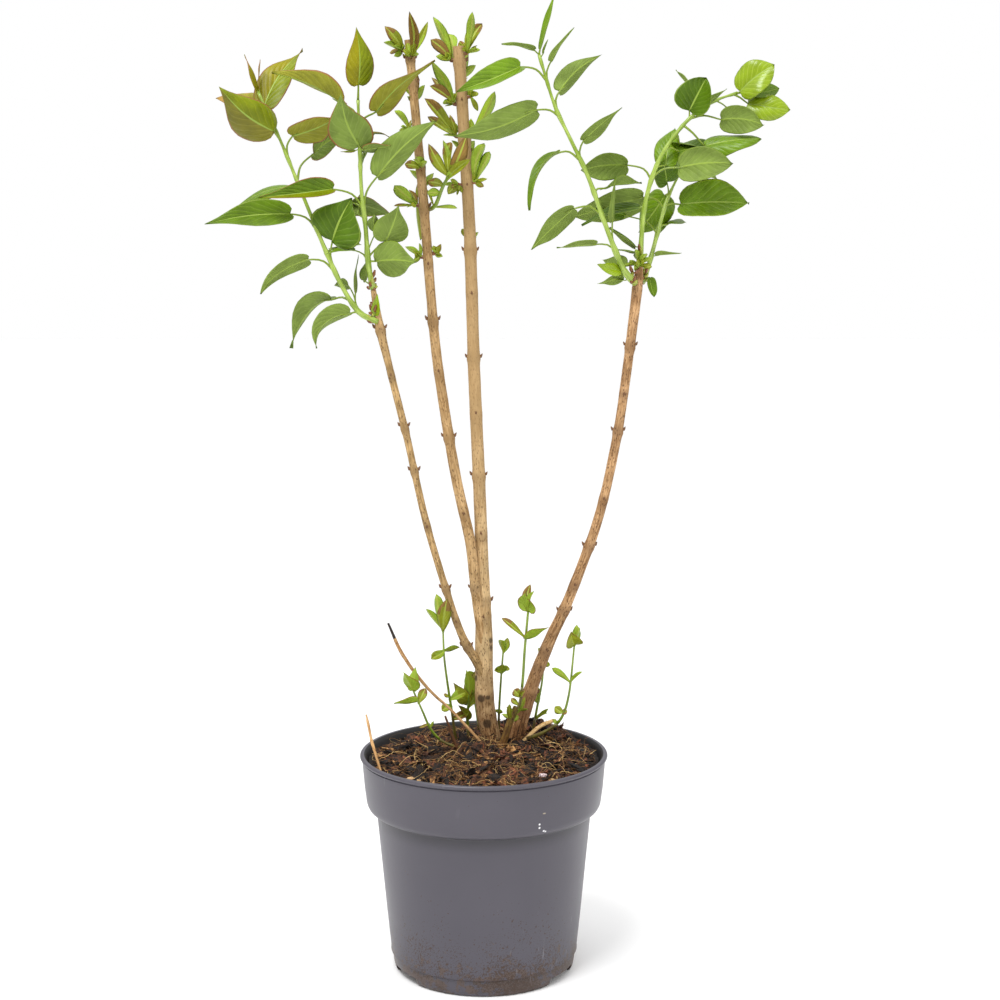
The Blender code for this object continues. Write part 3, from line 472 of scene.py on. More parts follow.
bm = bmesh.new()
for x, y, size, flat in GRIT:
    shape = bmesh.ops.create_icosphere(bm, subdivisions=1, radius=size / 2)["verts"]
    for vert in shape:
        vert.co.z *= 0.35 if flat else 0.6
        vert.co = vert.co * chance.uniform(0.75, 1.15) + Vector((x, y, compost_height(x, y) + 2.6))
        vert.co *= MM
    for face in faces_of(shape):
        face.material_index = flat
pebble = surface("pale_grit", paint(236, 214, 216), 0.7)[0]
pale_wood = surface("pale_wood", paint(196, 158, 112), 0.8)[0]
grit = piece("pale_grit", bm, pebble, pale_wood, smooth=False)

runs = []
for number in range(FIBRES):
    reach = (top_radius - 6) * math.sqrt(chance.random())
    turn = chance.uniform(0, math.tau)
    point = Vector((reach * math.cos(turn), reach * math.sin(turn), 0))
    heading = chance.uniform(0, math.tau)
    bend = chance.uniform(-0.2, 0.2)
    points = []
    loft, arch, count = chance.uniform(0.8, 3.0), chance.choice((0, 0, 1.5, 4, 8)), chance.randint(6, 24)
    for step in range(count):
        ground = compost_height(point.x, point.y) + loft + arch * math.sin(math.pi * step / count)
        points.append(Vector((point.x, point.y, ground + chance.uniform(-0.5, 0.7))))
        heading += bend + chance.gauss(0, 0.3)
        point += Vector((math.cos(heading), math.sin(heading), 0)) * chance.uniform(1.6, 2.8)
        if point.length > top_radius - EDGE_ROOM:
            break
    if len(points) > 2:
        runs.append((points, chance.choice(FIBRE_RADII), chance.choices(range(3), FIBRE_SHARES)[0]))
for index, (name, light, dark) in enumerate((
    ("straw_root", (236, 198, 130), (180, 134, 76)), ("tan_root", (158, 112, 62), (94, 62, 33)),
    ("brown_root", (76, 48, 28), (38, 24, 15)),
)):
    curve = bpy.data.curves.new("fine_roots", "CURVE")
    curve.dimensions = "3D"
    curve.bevel_depth = MM
    curve.bevel_resolution = 0
    for points, radius, kind in runs:
        if kind != index:
            continue
        spline = curve.splines.new("POLY")
        spline.points.add(len(points) - 1)
        for step, (target, point) in enumerate(zip(spline.points, points)):
            target.co = (*(point * MM), 1)
            target.radius = radius * (1 - 0.6 * step / len(points))
    holder = stood("fine_roots", curve)
    mesh = settled(holder)
    bpy.data.objects.remove(holder)
    bm = bmesh.new()
    bm.from_mesh(mesh)
    bpy.data.meshes.remove(mesh)
    thread = piece(f"fine_roots_{index + 1}", bm, grainy(name, light, dark, 0.75, 120, 3, 0.38, 0.62))


# ---------------------------------------------------------------- woody canes
# Four canes of last year's wood from one stool: tan bark with fine dark flecks and grooves, a ring
# at each node with a pair of dark buds, and two tops cut square with secateurs.

NODE_STEP = 3.0  # between a cane's rings
CANE_SIDES = 24
CANES = {  # points (x, y, z) that the axis passes, foot first, and the diameter there
    "main_stem": (
        ((8, 31, 196), 20), ((6, 31, 212), 18), ((1, 30, 240), 18), ((0, 28, 275), 17),
        ((0, 27, 304), 17), ((-1, 26, 343), 14), ((-3, 25, 419), 11.6), ((-6, 23, 494), 11.4),
        ((-9, 22, 567), 11.2), ((-11, 20, 640), 11), ((-14, 19, 715), 10.8), ((-22, 17, 847), 10.4),
    ),
    "left_centre_cane": (
        ((0, 24, 296), 9.5), ((-7, 21, 350), 10), ((-13, 18, 401), 9.8), ((-25, 15, 457), 9.4),
        ((-37, 11, 531), 9.2), ((-45, 9, 595), 8.8), ((-54, 8, 713), 8.6), ((-66, 4, 851), 7.6),
    ),
    "left_cane": (
        ((2, 27, 262), 7), ((-6, 21, 283), 8.6), ((-19, 14, 308), 7.4), ((-32, 9, 346), 6.6),
        ((-53, -1, 422), 6.4), ((-69, -7, 497), 6.4), ((-84, -10, 560), 6.4), ((-92, -12, 595), 8.4),
        ((-98, -14, 631), 4.8),
    ),
    "right_cane": (
        ((28, 32, 196), 16), ((32, 31, 214), 14), ((46, 28, 262), 12.6), ((62, 24, 305), 11),
        ((79, 18, 345), 9.8), ((105, 7, 421), 8.8), ((121, 0, 496), 8.4), ((131, -3, 569), 8.4),
        ((138, -6, 632), 9.6), ((140, -7, 652), 6),
    ),
}
CANE_NODES = {  # each node's height, and which way its two buds stand out (0 to the sides, 90 front and back)
    "main_stem": ((834, 0), (801, 90), (768, 0), (725, 90), (668, 0), (628, 90), (571, 0), (517, 90),
                  (461, 0), (405, 90), (344, 0), (328, 90), (251, 90), (232, 60)),
    "left_centre_cane": ((836, 0), (814, 0), (771, 0), (738, 90), (705, 0), (655, 90), (604, 0), (557, 90),
                         (498, 0), (427, 90), (357, 0)),
    "left_cane": ((597, 0), (555, 90), (508, 0), (469, 0), (417, 90), (358, 0), (326, 90), (302, 0)),
    "right_cane": ((582, 0), (539, 90), (505, 0), (440, 90), (398, 0), (360, 90), (336, 0), (296, 90),
                   (281, 80), (254, 0), (238, 90)),
}
CUT_TOPS = ("main_stem", "left_centre_cane")
CUT_ABOVE = 800
CUT_BARK = 0.6  # the bark's thickness round a cut
SIDE_BUD, FRONT_BUD = (3.6, 4.8), (2.6, 3.2)  # least and greatest size
GROUND = 0.2  # metres, where soil on the wood begins
WOOD_SHARP_FROM = math.radians(55)

tree, given, out = effect("bark relief", {"Grain": 1}, ("Streak", "Fleck", "Height"))
bark_relief = tree


def along_in(tree):
    """Where a shaded point lies on a limb: across it, and along it in Z."""
    return add(tree, "Attribute", {}, attribute_name="along").outputs["Vector"]


lie = along_in(tree)
streak = clouds(tree, stretched(tree, lie, (1, 1, 0.12)), 700, 4)
short_way = stretched(tree, lie, (1, 1, 0.45))
dots = add(tree, "TexVoronoi", {"Vector": short_way, "Scale": 640, "Randomness": 1}).outputs[0]
sparse = ramped(tree, clouds(tree, short_way, 260, 3), 0.34, 0.5)
fleck = times(tree, ramped(tree, dots, 0.2, 0.38, 1, 0), sparse)
rise = less(tree, streak, times(tree, fleck, 0.35))
both = maths(tree, "ADD", times(tree, streak, 0.6), times(tree, clouds(tree, lie, 55, 3), 0.4))
fill(tree, out, {"Streak": both, "Fleck": fleck, "Height": times(tree, rise, given["Grain"])})


def bark(name, light, dark, fleck, weathered, soiled=0.0, painted_shade_up_high=0.0, scars=()):
    """Bark in streaks of two tones, flecked, weathered, darkened up high by painted shade, soiled at its
    foot.
    """
    light, dark, fleck, weathered = (paint(*colour) for colour in (light, dark, fleck, weathered))
    made, shader, tree = surface(name, light, 0.72, 0.25)
    relief = placed(tree, bark_relief, {"Grain": 1})
    streak = relief["Streak"]
    tone = blended(tree, ramped(tree, streak, 0.4, 0.58), dark, light)
    patch = clouds(tree, along_in(tree), 48, 5)
    tone = blended(tree, ramped(tree, patch, 0.42, 0.66, 0, 0.55), tone, weathered)
    by_node = add(tree, "Attribute", {}, attribute_name="node").outputs["Fac"]
    ringed = times(tree, by_node, ramped(tree, streak, 0.35, 0.6))
    tone = blended(tree, times(tree, ringed, 0.6), tone, fleck)
    tone = blended(tree, times(tree, relief["Fleck"], 0.8), tone, fleck)
    spot = spot_in(tree)
    height = height_of(tree, spot)
    # Painted shade: the bark is darkened towards the top of the canes, from 0.36 m up.
    if painted_shade_up_high:
        tone = blended(tree, ramped(tree, height, 0.36, 0.52, 0, painted_shade_up_high), tone, dark)
    if soiled:
        stain = ramped(tree, height, GROUND, GROUND + soiled, 0.8, 0)
        stain = times(tree, stain, ramped(tree, streak, 0.62, 0.4, 0.55, 1))
        tone = blended(tree, stain, tone, paint(122, 74, 34))
        cracked = times(tree, ramped(tree, streak, 0.4, 0.46, 1, 0),
                        ramped(tree, height, GROUND, GROUND + soiled, 0.9, 0))
        tone = blended(tree, cracked, tone, paint(62, 42, 26))
        tone = under_soil(tree, tone, paint(52, 36, 24), 520, GROUND, soiled, 1.1)
    ragged = times(tree, less(tree, patch, 0.5), 0.012)
    for place, size in scars:
        away = maths(tree, "ADD", distance(tree, spot, place), ragged)
        tone = blended(tree, ramped(tree, away, size * 0.55, size, 0.85, 0), tone, paint(58, 44, 28))
    dress(tree, shader, tone, relief["Height"], 0.55, 0.0008)
    return made


cut_wood = surface("cut_wood", paint(214, 184, 138), 0.75)[0]
bud_scale = surface("bud_scale_brown", paint(112, 76, 48), 0.7)[0]
MAIN_SCARS = (  # knots and pruning scars on the old stem, and their size, in metres
    ((0.0078, 0.0205, 0.305), 0.0042), ((0.0082, 0.0205, 0.298), 0.0042), ((-0.0036, 0.0205, 0.249), 0.004),
    ((0.004, 0.021, 0.25), 0.0026), ((0.003, 0.0195, 0.2255), 0.0042), ((-0.007, 0.022, 0.276), 0.006),
    ((-0.0085, 0.024, 0.268), 0.0045),
)
CANE_BARKS = {
    "main_stem": bark("tan_bark", (216, 184, 136), (166, 134, 90), (84, 60, 36), (160, 138, 100),
                      0.09, 0.7, MAIN_SCARS),
    "left_centre_cane": bark("tan_bark_upper", (214, 178, 128), (150, 116, 72), (70, 50, 32),
                             (138, 110, 72), 0, 0.35),
    "left_cane": bark("brown_bark", (204, 168, 116), (140, 112, 70), (76, 52, 34), (132, 108, 70)),
    "right_cane": bark("red_brown_bark", (206, 164, 118), (138, 100, 62), (72, 46, 30), (130, 98, 64), 0.09),
}


def smooth_path(points, spacing):
    """Points of a Catmull-Rom curve through (point, size) pairs, about this far apart."""
    points = [(Vector(point), size) for point, size in points]
    before = 2 * points[0][0] - points[1][0], points[0][1]
    after = 2 * points[-1][0] - points[-2][0], points[-1][1]
    run = [before, *points, after]
    out = []
    for before, start, stop, after in zip(run, run[1:], run[2:], run[3:]):
        steps = max(1, round((stop[0] - start[0]).length / spacing))
        for step in range(steps):
            t = step / steps
            point = 0.5 * (
                2 * start[0] + (stop[0] - before[0]) * t
                + (2 * before[0] - 5 * start[0] + 4 * stop[0] - after[0]) * t**2
                + (3 * start[0] - before[0] - 3 * stop[0] + after[0]) * t**3
            )
            out.append((point, start[1] + (stop[1] - start[1]) * t))
    return out + [points[-1]]


def rolled(bm, path, sides, relief=None, index=0, nodes=()):
    """A grid rolled into a closed limb along (point, diameter) pairs, and its end faces.

    relief(angle, point, run) adds to its radius, and nodes are the heights of its rings.
    """
    layers = bm.verts.layers
    lies = layers.float_vector.get("along") or layers.float_vector.new("along")
    nears = layers.float.get("node") or layers.float.new("node")
    rows = len(path) - 1
    shape = bmesh.ops.create_grid(bm, x_segments=sides, y_segments=rows, size=1)["verts"]
    runs = [0.0]
    for (before, _), (after, _) in zip(path, path[1:]):
        runs.append(runs[-1] + (after - before).length)
    frames = []
    for step in range(rows + 1):
        way = (path[min(rows, step + 1)][0] - path[max(0, step - 1)][0]).normalized()
        deep = (Vector((0, 1, 0)) - way * way.y).normalized()
        frames.append((deep.cross(way), deep))
    for vert in shape:
        step = round((vert.co.y + 1) / 2 * rows)
        turn = math.pi * (vert.co.x + 1)
        point, size = path[step]
        wide, deep = frames[step]
        radius = size / 2
        if relief:
            radius += relief(turn, point, runs[step])
        spoke = wide * math.cos(turn) + deep * math.sin(turn)
        vert.co = (point + spoke * radius) * MM
        vert[lies] = (radius * math.cos(turn) * MM, radius * math.sin(turn) * MM, runs[step] * MM)
        vert[nears] = max((math.exp(-(((point.z - height + 2) / 5) ** 2)) for height in nodes), default=0)
    bmesh.ops.remove_doubles(bm, verts=shape, dist=1e-7)
    shape = [vert for vert in shape if vert.is_valid]
    rims = {edge for vert in shape for edge in vert.link_edges if edge.is_boundary}
    caps = bmesh.ops.holes_fill(bm, edges=list(rims), sides=0)["faces"]
    faces = faces_of(shape)
    bmesh.ops.recalc_face_normals(bm, faces=list(faces))
    for face in faces:
        face.material_index = index
    return caps


def bud(bm, root, way, size):
    """A small pointed bud that stands up and out from the bark."""
    shape = bmesh.ops.create_icosphere(bm, subdivisions=1, radius=0.5)["verts"]
    lean = (way * 0.55 + Vector((0, 0, 1))).normalized()
    turn = lean.to_track_quat("Z", "Y").to_matrix()
    for vert in shape:
        x, y, z = vert.co
        thin = 1.15 - 0.8 * (z + 0.5)
        bulge = turn @ Vector((x * thin * size * 0.8, y * thin * size * 0.8, z * size * 1.25))
        vert.co = (root + way * size * 0.1 + lean * size * 0.25 + bulge) * MM
    for face in faces_of(shape):
        face.material_index = 2


cane_lines = {}
for name, points in CANES.items():
    line = smooth_path(points, NODE_STEP)
    cane_lines[name] = line
    nodes = CANE_NODES[name]
    chance = random.Random(name)
    lean = chance.uniform(0, 9)

    def relief(turn, point, run):
        """Node rings, the leaf scars under their buds, and long shallow grooves."""
        grooves = noise.noise(Vector((2.2 * math.cos(turn), 2.2 * math.sin(turn) + lean, run * 0.035)))
        fine = noise.noise(Vector((6 * math.cos(turn), 6 * math.sin(turn) + lean, run * 0.09)))
        swell = 0.22 * grooves + 0.14 * fine
        for height, side in nodes:
            off = point.z - height
            if abs(off) < 14:
                facing = max(0, abs(math.cos(turn - math.radians(side)))) ** 3
                swell += 0.2 * math.exp(-((off / 4.5) ** 2))
                swell += 0.75 * facing * math.exp(-(((off + 2.5) / 3.4) ** 2))
        return swell

    bm = bmesh.new()
    caps = rolled(bm, line, CANE_SIDES, relief, nodes=[height for height, side in nodes])
    if name in CUT_TOPS:
        for cap in caps:
            if cap.calc_center_median().z > CUT_ABOVE * MM:
                bmesh.ops.inset_region(bm, faces=[cap], thickness=CUT_BARK * MM, depth=0)
                cap.material_index = 1
    for height, side in nodes:
        point, size = min(line, key=lambda pair: abs(pair[0].z - height))
        for half in (0, 180):
            angle = math.radians(side + half)
            way = Vector((math.cos(angle), -math.sin(angle), 0))
            breadth = chance.uniform(*(FRONT_BUD if side > 45 else SIDE_BUD))
            bud(bm, point + way * (size / 2 + 0.4), way, breadth)
    made = piece(name + "_bark", bm, CANE_BARKS[name], cut_wood, bud_scale)
    made.data.set_sharp_from_angle(angle=WOOD_SHARP_FROM)
    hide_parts(name)


# ---------------------------------------------------------------- dead and cut wood
# Dead twigs and stubs in the compost: weathered grey-tan wood with no bark to speak of, the cut
# stub paler, and the long dead twig black at its tip.

SNAGS = {
    "dead_twig": (
        ((4, 7, 201), 2.4), ((-6, 10, 214), 2.6), ((-30, 15, 239), 2.6), ((-53, 9, 263), 2.8),
        ((-75, 4, 295), 3.4), ((-88, -2, 326), 2.2),
    ),
    "rim_twig": (
        ((-91, -44, 190), 2.2), ((-94, -41, 199), 2.4), ((-99, -33, 213), 2.3), ((-102.5, -27, 222), 3.1),
        ((-103, -26, 224), 2.2), ((-106, -20, 236), 2.6), ((-107, -18.5, 240), 1.9), ((-108, -18, 244), 1.6),
    ),
    "brown_stub": (((14, 14, 196), 8), ((24, 12, 228), 6.6), ((30, 11, 244), 5)),
    "cut_stub": (((37, 22, 208), 3.4), ((52, 32, 219), 4), ((66, 40, 223.5), 3.4)),
    "small_stub": (((-23, 5, 200), 3.2), ((-30, 4, 220), 3), ((-36, 4, 237), 1.8)),
}
SNAG_WOODS = {
    "dead_twig": bark("dead_twig_wood", (214, 174, 124), (164, 120, 74), (112, 78, 48), (150, 112, 70)),
    "rim_twig": bark("rim_twig_wood", (226, 184, 130), (182, 134, 82), (120, 80, 50), (150, 108, 66)),
    "brown_stub": bark("brown_stub_bark", (132, 104, 52), (76, 58, 26), (50, 34, 22), (84, 78, 30), 0.03),
    "cut_stub": bark("cut_stub_wood", (234, 202, 148), (206, 164, 104), (150, 112, 70), (210, 176, 120)),
    "small_stub": bark("small_stub_bark", (120, 80, 48), (76, 48, 30), (46, 30, 20), (64, 42, 28)),
}
BLACK_FROM = 0.311  # metres, where the dead twig's tip begins
SNAG_STEP, SNAG_SIDES = 2.0, 12
dead_black = surface("dead_tip_black", paint(44, 34, 30), 0.85)[0]
for name, points in SNAGS.items():
    chance = random.Random(name)
    line = smooth_path(points, SNAG_STEP)
    lean = chance.uniform(0, 9)
    bm = bmesh.new()
    rolled(bm, line, SNAG_SIDES, lambda turn, point, run: 0.25 * noise.noise(
        Vector((math.cos(turn), math.sin(turn) + lean, run * 0.12))))
    if name == "dead_twig":
        for face in bm.faces:
            if face.calc_center_median().z > BLACK_FROM:
                face.material_index = 1
    made = piece(name + "_wood", bm, SNAG_WOODS[name], dead_black)
    made.data.set_sharp_from_angle(angle=WOOD_SHARP_FROM)
    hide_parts(name)


# ---------------------------------------------------------------- leafy shoots
# This spring's growth: soft green stems with heart-shaped leaves in pairs on thin stalks, the blades
# folded along a pale midrib and arched, glossy above, pale beneath, and bronzed where they are young.

# Each shoot has its stem's points, the diameters of its foot and tip, and its leaves: how far along
# the stem one sits, its stalk's angle and length, its blade's angle and how far that swings to the
# front, the blade's length and width, the way its upper side faces (0 front, 90 up, 180 back), how
# far it bends over, and its colouring.
SHOOTS = {
    "left_outer_shoot": dict(
        stem=((-94, -15, 603), (-111, -18, 612), (-127, -21, 638), (-144, -21, 677), (-159, -19, 714),
              (-176, -16, 756), (-184, -14, 774), (-198, -10, 804)),
        thick=(5.6, 2.2),
        leaves=(
            (0.74, 117, 23, 137, 28, 63, 40, 8, 10, "bronze half"),
            (0.99, 116, 4, 108, 0, 33, 9, 70, 15, "yellow"),
            (0.99, 92, 5, 89, -12, 27, 8, 70, 10, "pink"),
            (0.84, 118, 24, 57, -24, 68, 30, 25, 15, "gold"),
            (0.87, 120, 18, 168, -35, 60, 26, 50, 15, "yellow"),
            (0.72, 78, 21, 22, 20, 46, 32, 132, 12, "gold"),
            (0.63, 62, 30, 33, -40, 48, 24, 140, 10, "bronze edge"),
            (0.60, 168, 10, 202, -20, 66, 22, 60, 30, "fresh"),
            (0.44, 151, 26, 188, 18, 76, 28, 22, 8, "mid"),
            (0.25, 152, 28, 216, 22, 60, 19, 140, 90, "mid"),
            (0.12, 170, 21, 227, -22, 71, 27, 130, 88, "mid"),
            (0.05, 171, 15, 229, 25, 53, 23, 130, 100, "mid"),
            (0.27, 93, 25, 64, 8, 42, 50, 14, 10, "dark"),
            (0.07, 108, 20, 84, -14, 34, 12, 90, 10, "fresh"),
            (0.09, 112, 26, 184, -45, 20, 12, 150, 0, "mid"),
            (0.02, 66, 4, 84, 14, 20, 10, 0, 6, "lime"),
            (0.34, 20, 12, 15, -64, 44, 26, 95, 20, "mid"),
        ),
    ),
    "left_upright_shoot": dict(
        stem=((-98.5, -14, 632), (-102, -18, 656), (-104, -21, 689), (-107, -23, 719),
              (-108, -25, 760), (-109, -25, 796)),
        thick=(5.8, 2.6),
        leaves=(
            (1.00, 88, 13, 93, 8, 49, 26, 8, 12, "gold"),
            (0.90, 137, 20, 158, -6, 68, 31, 118, 20, "gold"),
            (0.73, 96, 5, 103, 38, 55, 38, 176, 10, "olive"),
            (0.87, 37, 19, 37, 18, 71, 31, 122, 14, "gold"),
            (0.43, 66, 31, 39, 16, 74, 32, 165, 6, "mid"),
            (0.74, 180, 4, 184, 0, 13, 5, 60, 0, "bronze edge"),
            (0.74, 5, 4, 8, 30, 28, 14, 130, 24, "bronze edge"),
            (0.82, 20, 5, 351, -22, 25, 9, 95, 44, "olive"),
            (0.43, 147, 32, 187, 14, 66, 25, 28, 8, "bronze edge"),
            (0.43, 150, 12, 342, -34, 46, 30, 140, 40, "olive"),
            (0.17, 42, 23, 68, 26, 36, 32, 165, 10, "mid"),
            (0.14, 16, 8, 356, 40, 48, 34, 158, 22, "mid"),
            (0.14, 134, 17, 188, 36, 30, 13, 60, 20, "fresh"),
            (0.20, 66, 21, 88, 34, 18, 14, 170, 24, "mid"),
            (0.38, 150, 7, 82, -20, 22, 13, 170, 10, "mid"),
            (0.02, 150, 9, 80, -24, 22, 11, 150, 10, "dark"),
            (0.66, 80, 14, 70, -64, 50, 30, 95, 20, "mid"),
        ),
    ),
    "right_left_shoot": dict(
        stem=((136, -12, 637), (127, -18, 646), (118, -25, 663), (106, -29, 693), (92, -32, 730),
              (76, -32, 763), (63, -31, 790), (53, -30, 821), (49, -30, 834)),
        thick=(6.4, 2.2),
        leaves=(
            (0.99, 90, 8, 76, 4, 46, 10, 60, 6, "fresh"),
            (0.97, 120, 12, 172, 14, 30, 11, 110, 14, "fresh"),
            (0.89, 81, 18, 53, 14, 35, 10, 112, 6, "fresh"),
            (0.77, 83, 18, 38, -20, 53, 22, 168, 6, "fresh"),
            (0.89, 152, 27, 202, 18, 63, 28, 28, 12, "fresh"),
            (0.74, 162, 22, 196, 16, 79, 31, 150, 8, "mid"),
            (0.54, 88, 20, 40, 18, 45, 16, 150, 12, "mid"),
            (0.55, 160, 22, 243, 16, 62, 17, 60, 68, "mid"),
            (0.32, 166, 26, 222, 14, 56, 22, 150, 70, "mid"),
            (0.17, 160, 18, 186, 10, 36, 12, 118, 0, "mid"),
            (0.98, 70, 6, 71, 20, 13, 4, 90, 0, "fresh"),
            (0.16, 99, 28, 86, 14, 40, 12, 118, 10, "mid"),
            (0.06, 151, 6, 165, 25, 25, 13, 30, 0, "lime"),
            (0.04, 165, 6, 196, -16, 25, 11, 150, 20, "mid"),
            (0.05, 110, 9, 160, -40, 26, 20, 160, 0, "mid"),
            (0.02, 178, 7, 176, 0, 14, 3, 90, 0, "lime"),
            (0.42, 20, 12, 10, -40, 46, 26, 95, 20, "mid"),
        ),
    ),
    "right_middle_shoot": dict(
        stem=((140.3, -7, 653), (141, -7, 672), (144, -8, 706), (152, -9, 736),
              (164, -9, 759), (183, -9, 782), (205, -8, 797), (225, -6, 804)),
        thick=(5.6, 2.2),
        leaves=(
            (0.98, 23, 6, 38, 10, 38, 33, 30, 30, "lime"),
            (1.00, 357, 13, 14, -12, 26, 17, 40, 20, "fresh"),
            (0.98, 328, 15, 352, 12, 38, 25, 24, 14, "lime"),
            (0.74, 358, 28, 349, 26, 40, 27, 150, 28, "mid"),
            (0.70, 316, 26, 6, 16, 50, 28, 38, 12, "fresh"),
            (0.74, 92, 7, 64, 10, 32, 40, 10, 8, "dark"),
            (0.80, 112, 24, 125, -26, 22, 9, 100, 8, "mid"),
            (0.47, 10, 9, 72, -30, 40, 24, 16, 8, "fresh"),
            (0.42, 19, 25, 3, 22, 48, 32, 172, 8, "mid"),
            (0.57, 345, 12, 0, -14, 40, 25, 58, 20, "dark"),
            (0.40, 148, 26, 188, 8, 42, 28, 162, 24, "mid"),
            (0.89, 329, 14, 354, 4, 20, 12, 118, 30, "fresh"),
            (0.75, 49, 13, 32, 16, 27, 9, 140, 0, "mid"),
            (0.27, 175, 5, 197, -8, 54, 19, 58, 22, "dark"),
            (0.08, 160, 5, 145, -20, 30, 15, 108, 10, "dark"),
            (0.06, 180, 4, 172, 16, 21, 11, 100, 12, "mid"),
            (0.64, 300, 9, 352, -64, 42, 26, 95, 20, "mid"),
        ),
    ),
    "right_outer_shoot": dict(
        stem=((143, -3, 638), (147, 1, 647), (151, 5, 660), (157, 12, 681), (162, 17, 698),
              (165, 20, 708), (170, 23, 720), (178, 26, 736)),
        thick=(5.4, 2.4),
        leaves=(
            (0.69, 7, 14, 359, 14, 62, 40, 22, 14, "glossy"),
            (0.80, 190, 4, 236, -26, 44, 32, 18, 8, "fresh"),
            (0.22, 35, 5, 5, 14, 24, 8, 110, 0, "mid"),
            (0.02, 20, 6, 285, 12, 18, 11, 30, 10, "mid"),
            (0.66, 150, 22, 195, -4, 64, 32, 150, 8, "mid"),
            (0.44, 150, 34, 165, -14, 27, 20, 60, 10, "dark"),
            (0.76, 95, 15, 104, 30, 28, 25, 0, 40, "dark"),
            (1.00, 60, 4, 66, -56, 44, 24, 60, 10, "mid"),
            (1.00, 10, 5, 350, -24, 36, 20, 90, 14, "mid"),
            (0.50, 20, 10, 20, -66, 46, 28, 95, 20, "mid"),
        ),
    ),
}
LEAF_THICK = 0.5
LEAF_FOLD = 24
LEAF_LOBE = 0.09  # how far a leaf's base runs back past its stalk, as a share of its length
LEAF_OUTLINE = (  # share of the length, and of the greatest half width there
    (0, 0), (0.02, 0.3), (0.06, 0.58), (0.13, 0.84), (0.22, 0.97), (0.32, 1), (0.45, 0.92), (0.6, 0.7),
    (0.74, 0.42), (0.86, 0.19), (0.95, 0.07), (1, 0),
)
LEAF_COLUMNS = (0, 0.04, 0.34, 0.66, 0.93, 1.0)  # from the midrib to the margin
LEAF_ROWS = 16
STALK_THICK = 1.9
SCATTER = 5

tree, given, out = effect("leaf veins", {"Veins": 7, "Width": 0.12}, ("Vein", "Height"))
leaf_relief = tree
lie = add(tree, "UVMap", {}, uv_map="blade").outputs[0]
parts = add(tree, "SeparateXYZ", {0: lie}).outputs
aside = maths(tree, "ABSOLUTE", less(tree, parts[0], 0.5))
sweep = times(tree, maths(tree, "POWER", aside, 0.85), 0.75)
rank = maths(tree, "ADD", less(tree, parts[1], sweep), times(tree, clouds(tree, lie, 6, 1), 0.05))
wave = maths(tree, "FRACT", times(tree, rank, given["Veins"]))
off = maths(tree, "ABSOLUTE", less(tree, wave, 0.5))
vein = ramped(tree, off, 0, given["Width"], 1, 0)
quilt = less(tree, maths(tree, "POWER", off, 0.6), times(tree, vein, 0.1))
fill(tree, out, {"Vein": vein, "Height": quilt})


def blade_surface(name, colour, vein, roughness=0.4, coat=0.06, relief=0.4):
    """A leaf's skin: its colour, mottled, with pale side veins and the quilting between them."""
    colour, vein = paint(*colour), paint(*vein)
    made, shader, tree = surface(name, colour, roughness, 0.2)
    fill(tree, shader.inputs, {"Coat Weight": coat, "Coat Roughness": 0.25})
    veins = placed(tree, leaf_relief, {"Veins": 7, "Width": 0.14})
    darker = tuple(value * 0.72 for value in colour[:3]) + (1,)
    mottle = clouds(tree, spot_in(tree), 70, 3)
    tone = blended(tree, ramped(tree, mottle, 0.35, 0.65), darker, colour)
    tone = blended(tree, times(tree, veins["Vein"], 0.3), tone, vein)
    dress(tree, shader, tone, veins["Height"], relief, 0.0016)
    return made


LEAF_SURFACES = [
    blade_surface("leaf_fresh_green", (108, 142, 16), (150, 176, 60), 0.34, 0.15),
    blade_surface("leaf_mid_green", (94, 124, 14), (136, 160, 56)),
    blade_surface("leaf_dark_green", (80, 110, 10), (120, 146, 44)),
    blade_surface("leaf_lime", (140, 166, 18), (190, 204, 90), 0.24, 0.4, 0.22),
    blade_surface("leaf_olive", (122, 134, 0), (158, 162, 34)),
    blade_surface("leaf_gold", (142, 136, 6), (170, 162, 48)),
    blade_surface("leaf_bronze", (146, 112, 34), (168, 138, 66)),
    blade_surface("leaf_bronze_green", (122, 118, 34), (148, 142, 66)),
    blade_surface("leaf_pink", (176, 140, 72), (196, 168, 104)),
    blade_surface("leaf_underside", (124, 146, 62), (150, 168, 90), 0.6, 0.0, 0.35),
    blade_surface("leaf_underside_olive", (144, 144, 40), (168, 166, 74), 0.6, 0.0, 0.35),
    surface("leaf_midrib", paint(140, 164, 56), 0.5)[0],
    surface("leaf_red_edge", paint(138, 92, 34), 0.5)[0],
    surface("leaf_green_edge", paint(112, 134, 30), 0.5)[0],
]
(FRESH, MID, DARK, LIME, OLIVE, GOLD, BRONZE, BRONZE_GREEN, PINK, UNDER, UNDER_OLIVE, MIDRIB, RED_EDGE,
 GREEN_EDGE) = range(14)
COLOURINGS = {  # upper side, second colour, the zone it takes, the underside, the margin and the midrib
    **{name: (main, main, None, UNDER, margin, MIDRIB) for name, main, margin in (
        ("fresh", FRESH, GREEN_EDGE), ("mid", MID, GREEN_EDGE), ("dark", DARK, GREEN_EDGE),
        ("lime", LIME, LIME), ("glossy", FRESH, LIME),
    )},
    "olive": (OLIVE, BRONZE_GREEN, "base", UNDER, RED_EDGE, MIDRIB),
    "gold": (OLIVE, GOLD, "left", UNDER_OLIVE, RED_EDGE, MIDRIB),
    "yellow": (GOLD, PINK, "tip", UNDER_OLIVE, RED_EDGE, GOLD),
    "pink": (GOLD, PINK, "tip", UNDER_OLIVE, RED_EDGE, PINK),
    "bronze half": (OLIVE, BRONZE_GREEN, "left", UNDER_OLIVE, RED_EDGE, MIDRIB),
    "bronze edge": (MID, OLIVE, "left", UNDER, RED_EDGE, MIDRIB),
}


